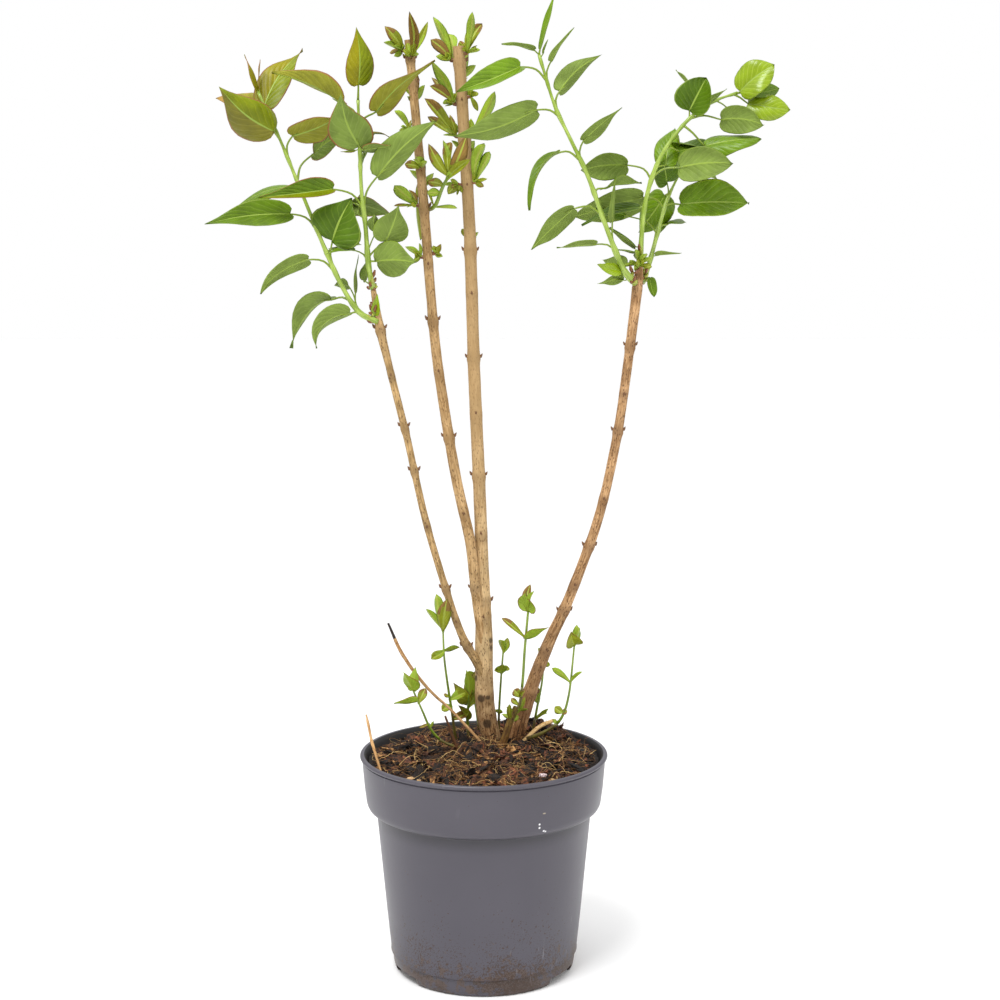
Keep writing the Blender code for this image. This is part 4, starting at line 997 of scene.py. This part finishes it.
def plane_direction(angle, swing):
    """The direction at an angle in the XZ plane, swung towards the front."""
    angle, swing = math.radians(angle), math.radians(swing)
    return Vector((math.cos(angle) * math.cos(swing), -math.sin(swing), math.sin(angle) * math.cos(swing)))


def leaf_frame(along, face):
    """The across and upper-side directions of a leaf that runs this way and faces this way."""
    front = Vector((0, -1, 0))
    front = (front - front.dot(along) * along).normalized()
    upward = front.cross(along)
    if upward.z < 0:
        upward = -upward
    face = math.radians(face)
    upper = math.cos(face) * front + math.sin(face) * upward
    return along.cross(upper), upper


def in_zone(zone, aside, share):
    """Whether a place on a blade, by its side and its share of the length, takes the second colour."""
    jagged = 0.05 * math.sin(31 * share + 3 * aside)
    return {
        "left": aside < -0.05, "base": share < 0.3 + jagged,
        "tip": share > 0.7 - 0.22 * abs(aside) + jagged, "far tip": share > 0.88 - 0.3 * abs(aside) + jagged,
    }.get(zone, False)


ROUND_OUTLINE = (
    (0, 0), (0.02, 0.32), (0.06, 0.58), (0.13, 0.82), (0.24, 0.96), (0.38, 1), (0.54, 0.94), (0.7, 0.78),
    (0.84, 0.52), (0.93, 0.27), (0.97, 0.12), (1, 0),
)


def across_at(outline, share):
    """The half width of an outline at a share of its length."""
    for (before, start), (after, stop) in zip(outline, outline[1:]):
        if share <= after:
            return start + (stop - start) * (share - before) / (after - before)
    return outline[-1][1]


def blade(bm, base, along, face, length, width, bend, fold, colouring, chance, lobe=LEAF_LOBE,
          outline=LEAF_OUTLINE, columns=LEAF_COLUMNS, rows=LEAF_ROWS, wave=1.0, thick=LEAF_THICK):
    """A heart-shaped leaf blade: a grid drawn out to its margin, folded, arched and given an underside."""
    places = bm.loops.layers.uv.get("blade") or bm.loops.layers.uv.new("blade")
    across, upper = leaf_frame(along, face)
    main, second, zone, under, margin, rib = COLOURINGS[colouring]
    bend, fold = math.radians(bend) or 0.001, math.radians(fold)
    curl = chance.uniform(-0.8, 0.25)
    heave, rolling = chance.uniform(0, math.tau), chance.uniform(0.03, 0.07)
    ripple, twist, sway = chance.uniform(0, math.tau), chance.uniform(-0.3, 0.3), chance.uniform(-0.09, 0.09)
    lines = len(columns) - 1
    shape = bmesh.ops.create_grid(bm, x_segments=2 * lines, y_segments=rows, size=1)["verts"]
    marks = {}
    for vert in shape:
        step = round(vert.co.x * lines)
        share = (vert.co.y + 1) / 2
        share = share**1.4 if lobe else share
        aside = math.copysign(columns[abs(step)], step)
        full = across_at(outline, share)
        back = lobe * 4.4 * share**0.5 * (1 - share) ** 7
        run = share - back * abs(aside) ** 1.3
        half = aside * width / 2 * full
        rise = fold + curl * abs(aside)
        lift = abs(half) * math.sin(rise)
        lift += wave * 0.04 * width * aside**2 * math.sin(9 * share + ripple + aside)
        lift += wave * rolling * width * aside * math.sin(4.5 * share + heave)
        turn = bend * (0.5 - run)
        forward = length * (math.sin(bend / 2) - math.sin(turn)) / bend
        height = length * (math.cos(turn) - math.cos(bend / 2)) / bend
        tilt = twist * share
        out_way = across * math.cos(tilt) + upper * math.sin(tilt)
        up_way = upper * math.cos(tilt) - across * math.sin(tilt)
        place = (base + along * (forward - lift * math.sin(turn)) + upper * height
                 + up_way * lift * math.cos(turn) + out_way * half * math.cos(rise)
                 + across * length * sway * math.sin(math.pi * share)
                 + across * length * sway * 0.5 * share**3)
        vert.co = place * MM
        marks[vert] = (aside, share, run)
    faces = list(faces_of(shape))
    for face in faces:
        for loop in face.loops:
            aside, share, run = marks[loop.vert]
            loop[places].uv = (0.5 + aside * 0.5, run)
        aside = sum(marks[vert][0] for vert in face.verts) / 4
        share = sum(marks[vert][1] for vert in face.verts) / 4
        if abs(aside) < columns[1]:
            face.material_index = rib
        elif abs(aside) > columns[-2] and lines > 3:
            face.material_index = margin
        else:
            face.material_index = second if in_zone(zone, aside, share) else main
    copies = bmesh.ops.duplicate(bm, geom=faces)["face_map"]
    lower = [copies[face] for face in faces]
    for over, face in zip(faces, lower):
        face.normal_flip()
        if over.material_index not in (rib, margin):
            face.material_index = under
    for face in faces:
        face.normal_update()
    slim = {}
    for over, face in zip(faces, lower):
        for vert in face.verts:
            if not vert.is_boundary:
                slim[vert] = slim.get(vert, Vector()) + over.normal
    for vert, normal in slim.items():
        vert.co -= normal.normalized() * thick * MM
    doubled = shape + [vert for face in lower for vert in face.verts]
    bmesh.ops.remove_doubles(bm, verts=list(set(doubled)), dist=1e-7)


def along_path(path, share):
    """The point and the direction at a share of a path's length."""
    lengths = [(after[0] - before[0]).length for before, after in zip(path, path[1:])]
    left = share * sum(lengths)
    for index, length in enumerate(lengths):
        if left <= length or index == len(lengths) - 1:
            step = path[index + 1][0] - path[index][0]
            return path[index][0] + step * min(1, left / length), step.normalized()
        left -= length


def stem_surface(name, light, dark):
    """A soft green stem: streaks of a paler and a darker green along it."""
    light, dark = paint(*light), paint(*dark)
    made, shader, tree = surface(name, light, 0.36, 0.4)
    fill(tree, shader.inputs, {"Coat Weight": 0.3, "Coat Roughness": 0.22})
    relief = placed(tree, bark_relief, {"Grain": 0.6})
    tone = blended(tree, ramped(tree, relief["Streak"], 0.36, 0.62), dark, light)
    patch = clouds(tree, along_in(tree), 18, 2)
    tone = blended(tree, ramped(tree, patch, 0.48, 0.6, 0, 0.8), tone, dark)
    dress(tree, shader, tone, relief["Height"], 0.15, 0.0006)
    return made


STEM_SURFACES = [
    stem_surface("green_stem", (172, 194, 92), (118, 144, 30)),
    stem_surface("leaf_stalk", (138, 160, 44), (102, 124, 20)),
    stem_surface("shoot_foot_scale", (146, 92, 44), (84, 42, 24)),
    stem_surface("shoot_foot_bract", (176, 178, 74), (134, 142, 40)),
]
FOOT_BRACTS = 13
STEM_SLIM = 0.86  # how fine the stems are beside the solids that carry them
LEAF_STEP = 34  # between the points of the line that leaves stand on
STEM_STEP, STEM_SIDES = 5, 12
STALK_STEP, STALK_SIDES = 4, 7
BRACT_STEP = 1.2
ROUND_LEAVED = ("right_middle_shoot", "right_outer_shoot")


def stem_lines(shape, step):
    """A stem's coarse line, which its leaves stand on, and the finer, slimmer one of its mesh."""
    points, (foot, tip) = shape["stem"], shape["thick"]
    sized = [(point, foot + (tip - foot) * index / (len(points) - 1)) for index, point in enumerate(points)]
    slim = [(point, size * STEM_SLIM) for point, size in smooth_path(sized, step)]
    return smooth_path(sized, LEAF_STEP), slim


for name, shoot in SHOOTS.items():
    chance = random.Random(name)
    looks = random.Random(name + " looks")
    foot = shoot["thick"][0]
    coarse, fine = stem_lines(shoot, STEM_STEP)
    stems, leaves = bmesh.new(), bmesh.new()
    nodes = [along_path(coarse, leaf[0])[0] for leaf in shoot["leaves"]]
    rolled(stems, fine, STEM_SIDES, lambda turn, point, run: 0.1 * foot * max(
        math.exp(-(((point - place).length / 4) ** 2)) for place in nodes))
    for along, stalk_angle, stalk, angle, swing, length, width, face, bend, colouring in shoot["leaves"]:
        root, up = along_path(coarse, along)
        angle += chance.uniform(-1, 1)
        forward = plane_direction(angle, swing)
        base = root + plane_direction(stalk_angle, swing * 0.5) * stalk
        knee = root + (base - root) * 0.5 + (up - forward) * stalk * 0.12
        turned = face + chance.uniform(-SCATTER, SCATTER)
        fold = LEAF_FOLD + chance.uniform(-SCATTER, SCATTER)
        outline = ROUND_OUTLINE if name in ROUND_LEAVED and width > 0.45 * length else LEAF_OUTLINE
        blade(leaves, base, forward, turned, length, width, bend, fold, colouring, looks, outline=outline)
        upper = leaf_frame(forward, turned)[1]
        rise = math.tan(math.radians(bend * 0.45))
        sunk = base + forward * length * 0.14 + upper * (length * 0.14 * rise - 0.5)
        thick = STALK_THICK * min(1, 0.45 + length / 90)
        near_base = base - upper * 0.4
        stalk_line = (root, thick * 1.25), (knee, thick), (near_base, thick * 0.85), (sunk, thick * 0.35)
        rolled(stems, smooth_path(stalk_line, STALK_STEP), STALK_SIDES, index=1)
    root, _ = along_path(coarse, 0.02)
    for index in range(FOOT_BRACTS):
        way = plane_direction(360 * index / FOOT_BRACTS + looks.uniform(-15, 15), looks.uniform(-60, 60))
        length = looks.uniform(2.5, 6)
        start = root + way * foot * 0.25 + Vector((0, 0, looks.uniform(-3, 7)))
        bract = smooth_path([(start, 2.2), (start + way * length * 0.5 + Vector((0, 0, 1)), 3.4),
                             (start + way * length + Vector((0, 0, 3)), 1.6)], BRACT_STEP)
        rolled(stems, bract, STALK_SIDES, index=3 if index % 3 == 0 else 2)
    bare = piece(name + "_stems", stems, *STEM_SURFACES)
    leafage = piece(name + "_leaves", leaves, *LEAF_SURFACES)
    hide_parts(name)


# ---------------------------------------------------------------- clusters of young leaves
# Buds breaking at the nodes of the two cut canes: narrow folded leaflets, olive with purple-brown
# tips, standing in tufts on short brown stubs with the split bud scales still round them.

CLUSTERS = {  # the node's height, which way the cluster leans out, and leaflets (angle, length, width)
    "main_stem": (
        (836, 175, (113, 41, 9), (98, 31, 9), (139, 27, 8), (165, 15, 5), (128, 22, 3)),
        (840, 350, (84, 39, 8), (62, 32, 12), (8, 14, 4), (120, 14, 6)),
        (797, 178, (119, 44, 10), (130, 34, 5), (146, 27, 9), (88, 12, 6), (178, 11, 5)),
        (802, 350, (60, 18, 9), (300, 16, 4), (110, 6, 3), (70, 14, 5)),
        (768, 178, (130, 46, 11), (142, 38, 8), (105, 21, 5), (88, 12, 3), (175, 12, 2.5)),
        (771, 352, (62, 46, 9), (340, 17, 4), (95, 13, 5)),
        (727, 340, (73, 42, 9), (85, 33, 7), (64, 35, 7), (58, 24, 10), (12, 15, 3), (335, 9, 4)),
        (726, 200, (222, 14, 8), (178, 14, 6), (200, 8, 4)),
        (820, 80, (80, 30, 8), (110, 24, 7), (45, 18, 6)),
        (750, 95, (96, 34, 9), (60, 24, 7), (130, 20, 6)),
        (676, 85, (88, 20, 7), (50, 14, 5), (128, 14, 5)),
    ),
    "left_centre_cane": (
        (842, 180, (130, 27, 8), (120, 24, 7), (158, 18, 7), (188, 14, 4), (215, 10, 4)),
        (835, 275, (92, 46, 10), (64, 34, 6), (10, 10, 4), (140, 9, 4)),
        (772, 180, (128, 24, 7), (84, 12, 3), (172, 11, 2.5)),
        (739, 275, (108, 14, 9), (168, 15, 6), (48, 12, 5), (80, 8, 4)),
        (705, 182, (137, 30, 9), (88, 21, 3), (182, 22, 3.5), (276, 34, 13), (118, 16, 5)),
        (660, 180, (148, 17, 5), (96, 14, 5), (214, 8, 4)),
        (664, 0, (58, 12, 4), (340, 8, 4)),
        (800, 95, (92, 30, 8), (60, 22, 6), (125, 20, 6)),
        (724, 90, (88, 26, 7), (52, 20, 6), (132, 18, 6)),
    ),
}
STUB = 2.4  # how far a cluster's stub stands out
STUB_SIDES = 9
YOUNG_FILL = 6  # small green bracts round each cluster
LEAFLET_BEND, LEAFLET_FOLD = 18, 34
LEAFLET_ROOT = 1.5  # how deep its root is sunk
LEAFLET_BROADER = 1.35  # a folded leaflet looks narrower than it is
LEAFLET_ROWS = 9
LEAFLET_THICK = 0.4
YOUNG_COLUMNS = (0, 0.16, 0.6, 1.0)
YOUNG_OUTLINE = (
    (0, 0.14), (0.12, 0.36), (0.3, 0.74), (0.5, 1), (0.68, 0.95), (0.82, 0.68), (0.93, 0.34), (1, 0),
)
SPOON_OUTLINE = (
    (0, 0.16), (0.15, 0.34), (0.32, 0.6), (0.5, 0.88), (0.66, 1), (0.8, 0.92), (0.92, 0.6),
    (0.97, 0.36), (1, 0),
)

YOUNG_SURFACES = LEAF_SURFACES + [
    blade_surface("young_olive", (144, 152, 32), (166, 172, 64), 0.45, 0.05, 0.2),
    blade_surface("young_green", (154, 182, 52), (186, 204, 92), 0.45, 0.05, 0.2),
    blade_surface("young_purple_brown", (144, 112, 54), (160, 130, 72), 0.5, 0.0, 0.2),
    surface("young_midrib", paint(158, 170, 56), 0.5)[0],
]
YOUNG_OLIVE, YOUNG_GREEN, YOUNG_BROWN, YOUNG_MIDRIB = range(14, 18)
COLOURINGS |= {
    "young tip": (YOUNG_OLIVE, YOUNG_BROWN, "far tip", YOUNG_GREEN, BRONZE, YOUNG_MIDRIB),
    "young half": (YOUNG_BROWN, YOUNG_OLIVE, "base", YOUNG_GREEN, BRONZE, YOUNG_MIDRIB),
    "young olive": (YOUNG_OLIVE, YOUNG_GREEN, "base", YOUNG_GREEN, BRONZE_GREEN, YOUNG_MIDRIB),
    "young green": (YOUNG_GREEN, YOUNG_OLIVE, "tip", YOUNG_GREEN, YOUNG_GREEN, YOUNG_MIDRIB),
}
YOUNG_KINDS = ("young tip", "young tip", "young tip", "young half", "young olive", "young green")
YOUNG_SHAPES = (YOUNG_OUTLINE, YOUNG_OUTLINE, SPOON_OUTLINE)


def leaflet(bm, root, angle, swing, length, width, face, looks, colouring=None, outline=None):
    """A young leaf with no stalk to speak of, its root sunk in its stem."""
    forward = plane_direction(angle, swing)
    kind = colouring or looks.choice(YOUNG_KINDS)
    shape = outline or looks.choice(YOUNG_SHAPES)
    blade(bm, root - forward * LEAFLET_ROOT, forward, face, length + LEAFLET_ROOT, width * LEAFLET_BROADER,
          LEAFLET_BEND, LEAFLET_FOLD, kind, looks, lobe=0, outline=shape, columns=YOUNG_COLUMNS,
          rows=LEAFLET_ROWS, wave=0.5, thick=LEAFLET_THICK)


for cane, clusters in CLUSTERS.items():
    stems, leaves = bmesh.new(), bmesh.new()
    for number, (height, side, *leaflets) in enumerate(clusters, 1):
        chance = random.Random(f"{cane}{number}")
        looks = random.Random(f"{cane}{number} looks")
        axis, size = min(cane_lines[cane], key=lambda pair: abs(pair[0].z - height))
        side = math.radians(side)
        out_way = Vector((math.cos(side), math.sin(side), 0))
        tip = axis + out_way * (size / 2 + STUB)
        stub = (axis + out_way * size * 0.3, 4.2), (tip, 3.4), (tip + out_way + Vector((0, 0, 2)), 2)
        rolled(stems, smooth_path(stub, BRACT_STEP), STUB_SIDES, index=2)
        for index, (angle, length, width) in enumerate(leaflets):
            swing = 22 * (-1) ** index - 24 * out_way.y + chance.uniform(-12, 12)
            face = chance.choice((20, 150)) + chance.uniform(-20, 20)
            leaflet(leaves, tip, angle, swing, length, width, face, looks)
        lead = leaflets[0][0]
        for index in range(YOUNG_FILL):
            leaflet(leaves, tip, lead + looks.uniform(-75, 75), looks.uniform(-70, 70), looks.uniform(6, 13),
                    looks.uniform(2.6, 4.6), looks.uniform(0, 120), looks, "young green", SPOON_OUTLINE)
    bare = piece(cane + "_young_stubs", stems, *STEM_SURFACES)
    tufts = piece(cane + "_young_leaves", leaves, *YOUNG_SURFACES)
    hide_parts(*(f"{cane}_cluster_{number}" for number in range(1, len(clusters) + 1)))

# A tuft like them, with no cane of its own, at the right cane's fork.
FORK = Vector((140, -10, 653))  # the top of the right cane, where its shoots break
FORK_LEAFLETS = (  # angle, swing, length, width
    (104, 30, 17, 5), (66, 45, 16, 5), (28, 35, 15, 4), (152, 40, 14, 4), (184, 25, 18, 3.5),
    (84, -30, 15, 5), (128, 60, 12, 5), (350, 30, 12, 4), (212, 45, 10, 5), (50, 60, 10, 4),
)
looks = random.Random("fork")
tuft = bmesh.new()
for index, (angle, swing, length, width) in enumerate(FORK_LEAFLETS):
    kind = ("young green", "young olive", "young tip")[index % 3]
    leaflet(tuft, FORK, angle, swing, length, width, looks.choice((20, 150)), looks, kind, SPOON_OUTLINE)
fork = piece("fork_young_leaves", tuft, *YOUNG_SURFACES)


# ---------------------------------------------------------------- sprig and suckers
# A leafy sprig half way up a cut cane, and thin soft suckers that rise from the stool through the
# compost, each with a few pairs of small leaves and a tuft at its tip.

SPRIGS = {  # the stem's points and diameters, and leaflets (along, angle, length, width)
    "cane_sprig": dict(
        stem=((-49, 8, 703), (-43, 3, 706), (-36, -6, 722), (-30, -12, 732)), thick=(5, 3),
        leaves=((0.98, 120, 34, 8), (0.94, 98, 36, 7), (0.9, 66, 44, 10), (1, 87, 36, 9), (0.84, 38, 34, 9),
                (0.7, 165, 16, 8), (0.5, 176, 12, 7), (0.15, 112, 18, 2.5), (0.1, 358, 24, 4)),
    ),
    "sucker_1": dict(
        stem=((-21, 7, 205), (-38, 2, 213), (-49, -3, 226), (-57, -6, 245), (-65, -8, 264)), thick=(3.4, 2),
        leaves=((1, 112, 26, 17), (1, 86, 22, 14), (0.86, 178, 24, 12), (0.84, 62, 16, 7),
                (0.55, 196, 10, 2.5), (0.5, 60, 7, 3)),
    ),
    "sucker_2": dict(
        stem=((-26, 34, 198), (-30, 28, 232), (-34, 21, 262), (-37, 15, 290), (-38, 13, 316)), thick=(3.4, 2),
        leaves=((1, 122, 30, 7), (1, 100, 36, 10), (1, 82, 36, 10), (1, 70, 26, 6), (0.84, 206, 16, 9),
                (0.84, 8, 16, 8), (0.45, 150, 7, 3), (0.42, 20, 18, 9), (0.36, 200, 10, 8)),
    ),
    "sucker_3": dict(
        stem=((-14, 44, 196), (-16, 42, 222), (-15, 40, 240), (-14, 39, 250)), thick=(4.2, 2.4),
        leaves=((1, 98, 30, 14), (0.96, 74, 24, 12), (0.88, 148, 20, 12), (0.84, 130, 24, 13),
                (0.66, 196, 20, 9), (0.9, 40, 14, 7), (0.5, 118, 22, 12), (0.74, 58, 20, 8)),
    ),
    "sucker_4": dict(
        stem=((14, 50, 196), (14, 50, 226), (16, 48, 262), (18, 46, 288)), thick=(3.2, 2),
        leaves=((1, 98, 15, 7), (1, 74, 15, 6), (0.8, 168, 8, 5), (0.8, 12, 9, 6), (0.78, 80, 12, 8),
                (0.35, 150, 5, 4), (0.35, 20, 4, 4)),
    ),
    "sucker_5": dict(
        stem=((26, 12, 230), (33, 10, 246), (36, 8, 268), (38, 6, 300), (41, 4, 336)), thick=(3.6, 2.6),
        leaves=((1, 96, 22, 24), (1, 82, 28, 8), (1, 76, 27, 6), (0.76, 142, 30, 6), (0.76, 32, 30, 12),
                (0.24, 134, 9, 7), (0.24, 60, 10, 5), (0.16, 140, 10, 4), (0.1, 12, 12, 4), (0.06, 60, 20, 4),
                (0.04, 120, 14, 5), (0, 150, 12, 4), (0, 95, 22, 4), (0, 30, 9, 4)),
    ),
    "sucker_6": dict(
        stem=((44, 44, 196), (50, 46, 232), (55, 48, 258), (57, 48, 282)), thick=(3.4, 1.8),
        leaves=((1, 120, 14, 7), (1, 75, 13, 7), (0.92, 10, 8, 4), (0.5, 110, 10, 6), (0.3, 50, 22, 4),
                (0.3, 22, 16, 4), (0.6, 140, 10, 6)),
    ),
    "sucker_7": dict(
        stem=((41, 21, 211), (56, 13, 219), (71, 8, 232), (79, 6, 256), (84, 5, 304)), thick=(4.4, 2),
        leaves=((1, 102, 18, 18), (1, 84, 20, 7), (1, 74, 19, 7), (0.68, 148, 24, 5), (0.68, 52, 20, 5),
                (0.42, 150, 10, 6), (0.42, 20, 5, 5), (0.3, 122, 5, 3), (0.3, 40, 6, 3)),
    ),
    "sucker_8": dict(
        stem=((-4, 66, 196), (-8, 70, 226), (-12, 74, 248)), thick=(3.2, 2),
        leaves=((1, 100, 18, 8), (1, 76, 16, 7), (0.7, 160, 14, 8), (0.7, 18, 14, 8)),
    ),
}
COLOURINGS["sucker"] = (YOUNG_OLIVE, BRONZE_GREEN, "far tip", YOUNG_GREEN, BRONZE, YOUNG_MIDRIB)
YOUNG_STEMS = [
    stem_surface("young_stem", (134, 156, 44), (92, 116, 20)),
    stem_surface("young_stem_foot", (116, 112, 42), (78, 62, 30)),
]
BROAD_FROM = 11  # a leaflet wider than this is a small blade
BROAD_BEND, BROAD_FOLD, BROAD_ROWS = 14, 26, 10
stems, leaves = bmesh.new(), bmesh.new()
for name, sprig in SPRIGS.items():
    chance = random.Random(name)
    looks = random.Random(name + " looks")
    coarse, fine = stem_lines(sprig, STALK_STEP)
    split = max(2, len(fine) // 3) if name != "cane_sprig" else 1
    rolled(stems, fine[:split + 1], STUB_SIDES, index=1)
    rolled(stems, fine[split:], STUB_SIDES, index=0)
    for index, (along, angle, length, width) in enumerate(sprig["leaves"]):
        root, _ = along_path(coarse, along)
        swing = 24 * (-1) ** index + chance.uniform(-12, 12)
        face = chance.choice((20, 150)) + chance.uniform(-20, 20)
        if width > BROAD_FROM:
            forward = plane_direction(angle, swing)
            blade(leaves, root, forward, face, length, width, BROAD_BEND, BROAD_FOLD, "sucker", looks,
                  rows=BROAD_ROWS)
        else:
            leaflet(leaves, root, angle, swing, length, width, face, looks)
bare = piece("sucker_stems", stems, *YOUNG_STEMS)
tufts = piece("sucker_leaves", leaves, *YOUNG_SURFACES)
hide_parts(*SPRIGS)


# ---------------------------------------------------------------- studio
# A white studio: a seamless pale floor, even light all round, a large soft light above the front
# left and a weaker one from the right, and the camera a little above the middle of the plant.

CAMERA_AT = (0.01505, -1.6, 0.6497)  # metres
CAMERA_PITCH = 7.4537
CAMERA_LENS = 63.56
CAMERA_SENSOR = 36
FLOOR_SIZE = 30.0  # metres
FILL = (0.45, 1.3)  # the even light all round, at the horizon and overhead
LIGHTS = (  # name, place and size in metres, power in watts
    ("key_light", (-0.6, -1.1, 2.4), 0.9, 38), ("side_light", (1.5, -0.9, 1.1), 1.0, 4),
)
LIT_POINT = Vector((0, 0, 0.45))

bm = bmesh.new()
bmesh.ops.create_grid(bm, x_segments=1, y_segments=1, size=FLOOR_SIZE / 2)
floor_mesh = bpy.data.meshes.new("studio_floor")
bm.to_mesh(floor_mesh)
bm.free()
floor_mesh.materials.append(surface("studio_floor", paint(255, 255, 255), 0.9, 0.1)[0])
floor = stood("studio_floor", floor_mesh)

bpy.context.scene.view_settings.view_transform = "Standard"
world = bpy.data.worlds.new("studio")
bpy.context.scene.world = world
world.use_nodes = True
tree = world.node_tree
overhead = ramped(tree, height_of(tree, add(tree, "TexCoord", {}).outputs["Generated"]), 0, 1, *FILL)
seen = add(tree, "LightPath", {}).outputs["Is Camera Ray"]
strength = maths(tree, "ADD", times(tree, overhead, less(tree, 1.0, seen)), seen)
fill(tree, tree.nodes["Background"].inputs, {"Color": (1, 1, 1, 1), "Strength": strength})

for name, place, size, power in LIGHTS:
    light = bpy.data.lights.new(name, "AREA")
    light.size = size
    light.energy = power
    lamp = stood(name, light)
    lamp.location = place
    lamp.rotation_euler = (LIT_POINT - Vector(place)).to_track_quat("-Z", "Y").to_euler()

camera = bpy.data.cameras.new("camera")
camera.lens = CAMERA_LENS
camera.sensor_width = CAMERA_SENSOR
camera_rig = stood("camera", camera)
camera_rig.location = CAMERA_AT
camera_rig.rotation_euler = (math.radians(90 - CAMERA_PITCH), 0, 0)
bpy.context.scene.camera = camera_rig
